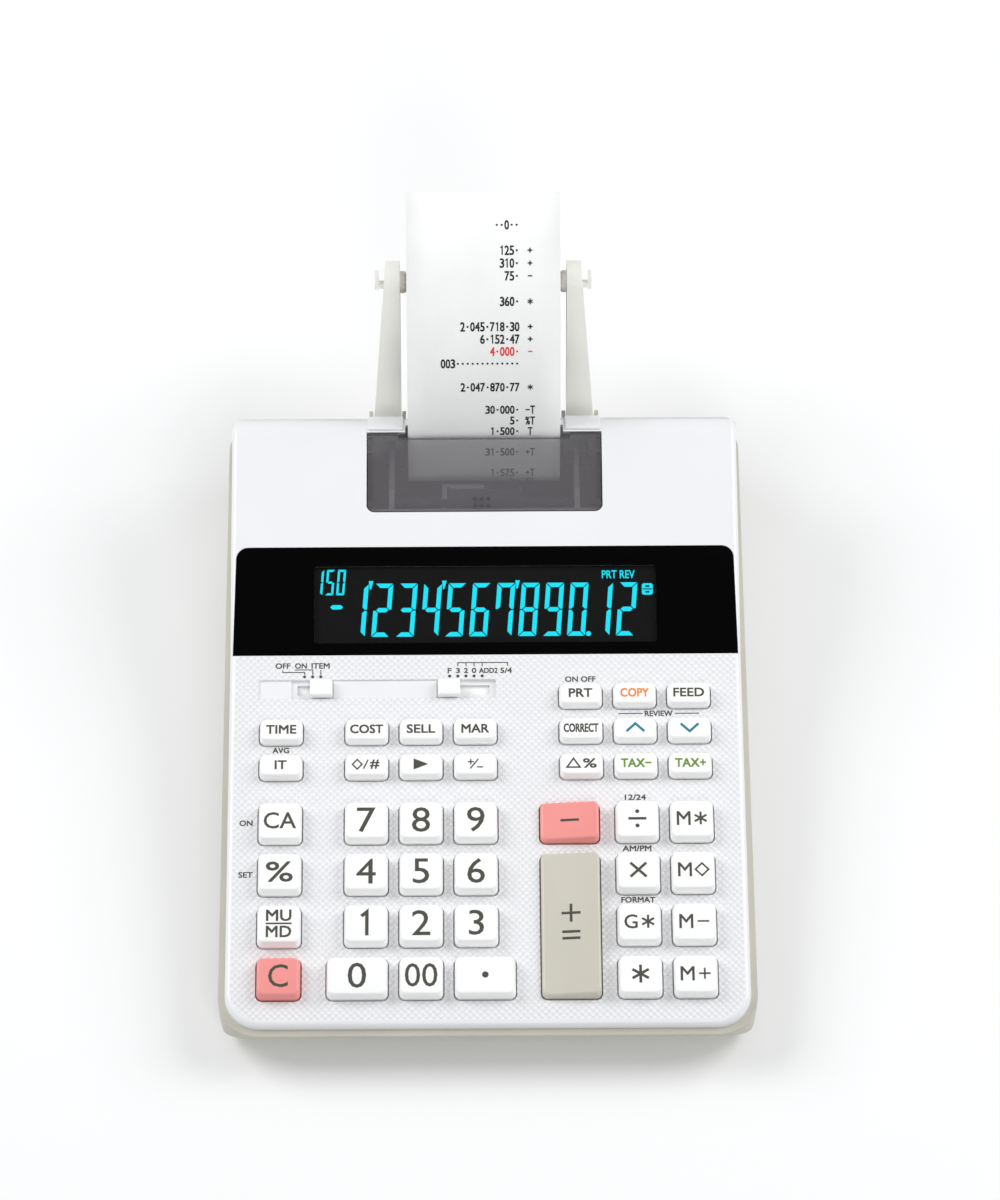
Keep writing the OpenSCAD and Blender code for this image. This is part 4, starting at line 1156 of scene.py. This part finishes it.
# ---- printed words and marks on the upper shell
labels = (
    # words, height, width, across, up the slope
    ("OFF", 2.1, 5.4, -75.3, 140.8), ("ON", 2.1, 4.3, -68.6, 140.8), ("ITEM", 2.1, 6.6, -61.3, 140.8),
    ("F", 2.0, 1.3, -13.4, 138.6), ("3", 2.0, 1.4, -10.3, 138.6), ("2", 2.0, 1.4, -7.3, 138.6),
    ("0", 2.0, 1.5, -4.3, 138.6), ("ADD2", 2.0, 6.8, 1.0, 138.6), ("5/4", 2.1, 4.2, 7.6, 138.6),
    ("ON", 2.1, 4.7, -88.1, 78.2), ("SET", 2.1, 5.1, -88.0, 58.0), ("AVG", 2.1, 6.0, -75.7, 106.9),
    ("ON OFF", 2.1, 11.2, 35.1, 134.9), ("REVIEW", 2.1, 10.2, 63.9, 120.9), ("12/24", 2.1, 7.6, 54.6, 87.6),
    ("AM/PM", 2.1, 10.4, 54.8, 67.5), ("FORMAT", 2.1, 12.2, 54.9, 47.5),
)
leaders = (
    # points of each fine line beside the switches and the review keys
    ((-75.3, 139.0), (-75.3, 138.2), (-67.2, 138.2), (-67.2, 137.2)),
    ((-70.8, 139.2), (-64.2, 139.2), (-64.2, 137.2)), ((-61.2, 139.2), (-61.2, 137.2)),
    ((-10.3, 140.3), (-10.3, 141.8), (8.2, 141.8), (8.2, 140.4)), ((-7.3, 141.8), (-7.3, 140.3)),
    ((-4.3, 141.8), (-4.3, 140.3)), ((-1.3, 141.8), (-1.3, 140.3)),
    ((49.0, 120.9), (57.9, 120.9)), ((69.9, 120.9), (78.8, 120.9)),
)
labelPlan = {"line": 0.36, "dot": 0.6, "lift": 0.02}
switchDots = ((-67.2, 136.4), (-64.2, 136.4), (-61.2, 136.4), (-13.4, 136.4), (-10.3, 136.4), (-7.3, 136.4),
              (-4.3, 136.4), (-1.3, 136.4))


def makeLabels():
    bm = bmesh.new()
    for words, height, width, x, s in labels:
        joinInto(bm, moved(lettering(words, height, width, legendWeight["label"]), x, s))
    for points in leaders:
        joinInto(bm, stroke(points, labelPlan["line"]))
    for x, s in switchDots:
        joinInto(bm, moved(dot(labelPlan["dot"], segments=14), x, s))
    place(moved(bm, 0, 0, labelPlan["lift"]), keySlope)
    finished(bm, "shellLegends", [darkInk], "root")
    print("shell legends made")


makeLabels()

# ---- slide switches


def makeKnobs():
    for node, (x, low, high) in knobRuns.items():
        bm = slab(knob["width"], knob["depth"], knob["low"], knob["height"], knob["corner"], 4)
        softenEdges(bm, list(topOf(bm).edges), knob["round"], 4)
        for step in (-knob["ribPitch"], 0, knob["ribPitch"]):
            joinInto(bm, slab(knob["rib"], knob["depth"] - 2 * knob["ribIn"], knob["height"] - 0.1,
                              knob["height"] + knob["ribHeight"], 0.2, 2, (step, 0)))
        joinInto(bm, slab(knob["neck"], knob["neckDepth"], knob["neckEnd"], knob["low"]))
        # a long plate under the shell keeps the slot covered at either end of the run
        reach = high - low + knob["neck"] / 2 + knob["neckGap"]
        joinInto(bm, slab(2 * reach, knob["plateDepth"], knob["plateFrom"], knob["plateTo"],
                          knob["plateCorner"], 3))
        place(bm, keySlope @ Matrix.Translation((x, channelMiddle, 0)))
        body = node.replace("_knob", "")
        piece = finished(bm, body.replace("_switch", "Slider"), [keyWhite], body)
        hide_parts(node)
    print("slide switches made")


makeKnobs()

# ---- lower case, arms and the rest that keeps the frame's shape
grip = {"rings": (-3.5, -1, 1.5), "rows": (2.2, 4.8), "wire": 0.28, "radius": 0.62, "thickness": 0.04,
        "height": 0.34}


def makeCase():
    bm = copyOfNode("bottom_case", 0.3, 40)
    place(bm, level)
    piece = finished(bm, "lowerCase", [beige], "root", 30)
    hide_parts("bottom_case")
    for side in ("left", "right"):
        bm = copyOfNode(side + "_roll_arm", 0.35, 35)
        place(bm, level)
        arm = finished(bm, side + "Arm", [paleBeige], side + "_arm", 30)
        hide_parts(side + "_roll_arm")
    bm = copyOfNode("printer_cover", 0.25, 40)
    up = deckSlope.to_3x3() @ Vector((0, 0, 1))
    for face in bm.faces:
        # painted shade: the lid's side faces take a darker copy of the smoked finish, as a clear plate looks
        # darker at its edges
        face.material_index = 1 if abs(face.normal.dot(up)) < 0.5 else 0
    place(bm, level)
    cover = finished(bm, "smokedLid", [smoked, smokedPaintedShade], "printer_lid", 30)
    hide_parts("printer_cover")
    # painted shade: dark rings on the lid's grip dots, for the shade round their rounded rims
    rings = bmesh.new()
    for x in grip["rings"]:
        for s in grip["rows"]:
            ring = tube((0, 0), grip["wire"], grip["radius"], 0, grip["thickness"], 20)
            spot = Matrix.Translation((x, lid["from"] + s, grip["height"]))
            joinInto(rings, ring, spot @ Matrix.Rotation(math.radians(-90), 4, "Y"))
    place(rings, deckSlope)
    finished(rings, "gripDotPaintedShade", [smokedPaintedShade], "printer_lid")
    for node, finish in (("key_board", boardGreen), ("key_mat", domeRubber), ("printer_frame", innerGreyAndSeatShade),
                         ("platen_roller", platenRubber), ("ink_roller", inkFoam)):
        dressed(node, finish)
    print("case, arms and printer dressed")


makeCase()

# ---- feet and screws
foot = {"radius": 6, "height": 2.6, "inset": 20, "front": 28, "rear": 228, "round": 0.5, "rim": 1.2,
        "slope": 0.3, "dimple": 0.35}
screw = {"head": 2.3, "headHeight": 1.5, "round": 0.45, "seat": 7.0, "slotLength": 2.9, "slotWidth": 0.7,
         "slotDeep": 0.8, "side": case["wall"] + 3.8, "rows": (frontY + 16, frontY + 122, coverBack - 14)}


def disc(radius, height, segments, edgeRound):
    # a round block about the origin with its lower edge rounded
    bm = bmesh.new()
    bmesh.ops.create_cone(bm, cap_ends=True, segments=segments, radius1=radius, radius2=radius, depth=height)
    softenEdges(bm, list(bottomOf(bm).edges), edgeRound, 3)
    return bm


def makeFeet():
    bm = bmesh.new()
    side = case["width"] / 2 - foot["inset"]
    for x in (-side, side):
        for y in (foot["front"], foot["rear"]):
            pad = disc(foot["radius"], foot["height"], 40, foot["round"])
            bottom = bottomOf(pad)
            bmesh.ops.inset_region(pad, faces=[bottom], thickness=foot["rim"])
            bmesh.ops.inset_region(pad, faces=[bottom], thickness=foot["slope"], depth=-foot["dimple"])
            joinInto(bm, moved(pad, x, frontY + y, foot["height"] / 2))
    place(bm, level)
    piece = finished(bm, "rubberFeet", [footRubber], "root")
    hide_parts("rubber_feet")


def makeScrews():
    bm = bmesh.new()
    side = coverWidth / 2 - screw["side"]
    slotTop = screw["slotDeep"] - screw["headHeight"] / 2
    for x in (-side, side):
        for y in screw["rows"]:
            head = loose(disc(screw["head"], screw["headHeight"], 28, screw["round"]))
            cut(head, loose(slab(screw["slotLength"], screw["slotWidth"], -9, slotTop)))
            cut(head, loose(slab(screw["slotWidth"], screw["slotLength"], -9, slotTop)))
            joinInto(bm, moved(shapeOf(head), x, y, screw["seat"] - screw["headHeight"] / 2))
    place(bm, level)
    finished(bm, "caseScrews", [steel], "root")


makeFeet()
makeScrews()
print("feet and screws made")

# ---- paper


def tangentFrom(point, centre, radius):
    # slope and end of the line from a point to a circle's underside
    reach = math.dist(point, centre)
    angle = math.degrees(math.atan2(centre[1] - point[1], centre[0] - point[0]) - math.asin(radius / reach))
    return angle, along(point, angle, math.sqrt(reach * reach - radius * radius))


def tapePoint(s):
    # place and outward direction at a distance above the exit
    if s < -tape["run"]:
        angle = tape["leadSlope"] + math.degrees((-tape["run"] - s) / tape["wrap"])
        p = along(platenCentre, angle + 90, tape["wrap"])
    elif s <= 0:
        p = along(exitPoint, tape["leadSlope"], s)
        angle = tape["leadSlope"]
    else:
        turn = math.degrees(s / tape["curl"])
        p = along(curlCentre, tape["leadSlope"] + 90 - turn, tape["curl"])
        angle = tape["leadSlope"] - turn
    return p, (-math.sin(math.radians(angle)), math.cos(math.radians(angle)))


def ribbon(points):
    # a strip of the tape's width drawn through the points of a side view
    bm = bmesh.new()
    half = tape["width"] / 2
    first = [bm.verts.new((x, points[0][0], points[0][1])) for x in (-half, half)]
    edges = [bm.edges.new(first)]
    bmesh.ops.subdivide_edges(bm, edges=edges, cuts=5)
    edges = bm.edges[:]
    last = points[0]
    for point in points[1:]:
        made = bmesh.ops.extrude_edge_only(bm, edges=edges)
        verts = [g for g in made["geom"] if isinstance(g, bmesh.types.BMVert)]
        edges = [g for g in made["geom"] if isinstance(g, bmesh.types.BMEdge)]
        bmesh.ops.translate(bm, verts=verts, vec=(0, point[0] - last[0], point[1] - last[1]))
        last = point
    return bm


def paperPiece(bm, name, body):
    place(bm, level)
    piece = finished(bm, name, [paper], body, 60)
    wall = piece.modifiers.new("thickness", "SOLIDIFY")
    wall.thickness = tape["thickness"] * mm
    wall.offset = 0
    return piece


tapeLines = (
    # line down from the top, number, sign, finish
    (0, "••0••", "", tapeInk), (2, "125•", "+", tapeInk), (3, "310•", "+", tapeInk), (4, "75•", "−", tapeInk),
    (6, "360•", "*", tapeInk), (8, "2•045•718•30", "+", tapeInk), (9, "6•152•47", "+", tapeInk),
    (10, "4•000•", "−", tapeRed), (11, "003•••••••••••••", "", tapeInk), (13, "2•047•870•77", "*", tapeInk),
    (15, "30•000•", "−T", tapeInk), (16, "5•", "%T", tapeInk), (17, "1•500•", "T", tapeInk),
    (19, "31•500•", "+T", tapeInk), (21, "1•575•", "+T", tapeInk), (22, "5•", "%T", tapeInk),
    (23, "75•", "T", tapeInk),
)
printing = {"top": 80, "pitch": 4.76, "height": 3.4, "right": 13.4, "signAt": 17.4, "advance": 1.85,
            "weight": 0.09, "digitWidth": 1.56, "lift": 0.03, "bendFrom": -18.2, "bendStep": 0.6,
            "bendCuts": 20}
stripSteps = 28
webSteps = 40


def typed(text, rightEnd):
    # characters on an even pitch, ending at rightEnd
    bm = bmesh.new()
    for i, character in enumerate(reversed(text)):
        x = rightEnd - (i + 0.5) * printing["advance"]
        if character == "•":
            shape = dot(0.42, segments=8)
        elif character == "−":
            shape = stroke([(-0.8, 0), (0.8, 0)], 0.5)
        elif character == "+":
            shape = plusMark(1.8, 0.5)
        elif character == "*":
            shape = star(1.1, 0.42)
        elif character == "1":
            shape = stroke([(-0.55, 1.0), (0.1, 1.5), (0.1, -1.7)], 0.46)
        else:
            shape = lettering(character, printing["height"], printing["digitWidth"], printing["weight"])
        joinInto(bm, moved(shape, x, 0))
    return bm


def makeStrip():
    # from the curled top down to the exit, round the platen and out to the rear inlet
    strip = [tapePoint(tape["stripLength"] * (1 - i / stripSteps))[0] for i in range(stripSteps)]
    strip += [exitPoint, along(exitPoint, tape["leadSlope"], -tape["run"] / 2), leavePoint]
    away = math.degrees(math.atan2(inletPoint[1] - platenCentre[1], inletPoint[0] - platenCentre[0]))
    touch = away - math.degrees(math.acos(tape["wrap"] / math.dist(inletPoint, platenCentre)))
    strip += arcPoints(platenCentre, tape["wrap"], tape["leadSlope"] + 90, 360 + touch, 48)[1:]
    strip.append(inletPoint)
    piece = paperPiece(ribbon(strip), "tapeStrip", "root")
    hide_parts("paper_tape")


def makeWeb():
    # the free run between the inlet and the underside of the roll
    slope, end = tangentFrom(inletPoint, rollHub, webRadius)
    length = math.dist(inletPoint, end)
    run = [along(inletPoint, slope, length * i / webSteps) for i in range(webSteps + 1)]
    under = arcPoints(rollHub, webRadius - tape["thickness"], slope - 90, slope - 50, 8)[1:]
    piece = paperPiece(ribbon(run + under), "tapeWeb", None)
    applied(piece)
    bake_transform(piece)


def makePrinting():
    for inkFinish, name in ((tapeInk, "tapePrinting"), (tapeRed, "tapePrintingRed")):
        bm = bmesh.new()
        for line, number, sign, finish in tapeLines:
            if finish != inkFinish:
                continue
            height = printing["top"] - printing["pitch"] * line
            joinInto(bm, moved(typed(number, printing["right"]), 0, height))
            if sign:
                joinInto(bm, moved(typed(sign, printing["signAt"] + len(sign) * 0.9), 0, height))
        # extra edges where the lowest lines follow the platen's bend
        for i in range(printing["bendCuts"]):
            bmesh.ops.bisect_plane(bm, geom=bm.verts[:] + bm.edges[:] + bm.faces[:], plane_no=(0, 1, 0),
                                   plane_co=(0, printing["bendFrom"] - i * printing["bendStep"], 0))
        for v in bm.verts:
            (y, z), (outY, outZ) = tapePoint(v.co.y)
            lift = v.co.z + tape["thickness"] / 2 + printing["lift"]
            v.co.y = y + outY * lift
            v.co.z = z + outZ * lift
        place(bm, level)
        finished(bm, name, [inkFinish], "root")
    print("tape made")


def makeRoll():
    half = tape["width"] / 2
    bm = tube(rollHub, tape["coreOut"], tape["rollRadius"], -half, half, 96)
    softenEdges(bm, sharpEdges(bm, 50), 0.25, 2)
    for face in bm.faces:
        if abs(face.normal.x) > 0.9:
            face.material_index = 1
    place(bm, level)
    piece = finished(bm, "tapeRoll", [paper, rollPaper], "roll")
    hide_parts("paper_roll")
    bm = tube(rollHub, tape["coreIn"], tape["coreOut"] - 0.02, -half - 0.1, half + 0.1, 48)
    softenEdges(bm, sharpEdges(bm, 50), 0.2, 2)
    place(bm, level)
    finished(bm, "rollCore", [cardboard], "roll")
    print("roll made")


makeStrip()
makeWeb()
makePrinting()
makeRoll()
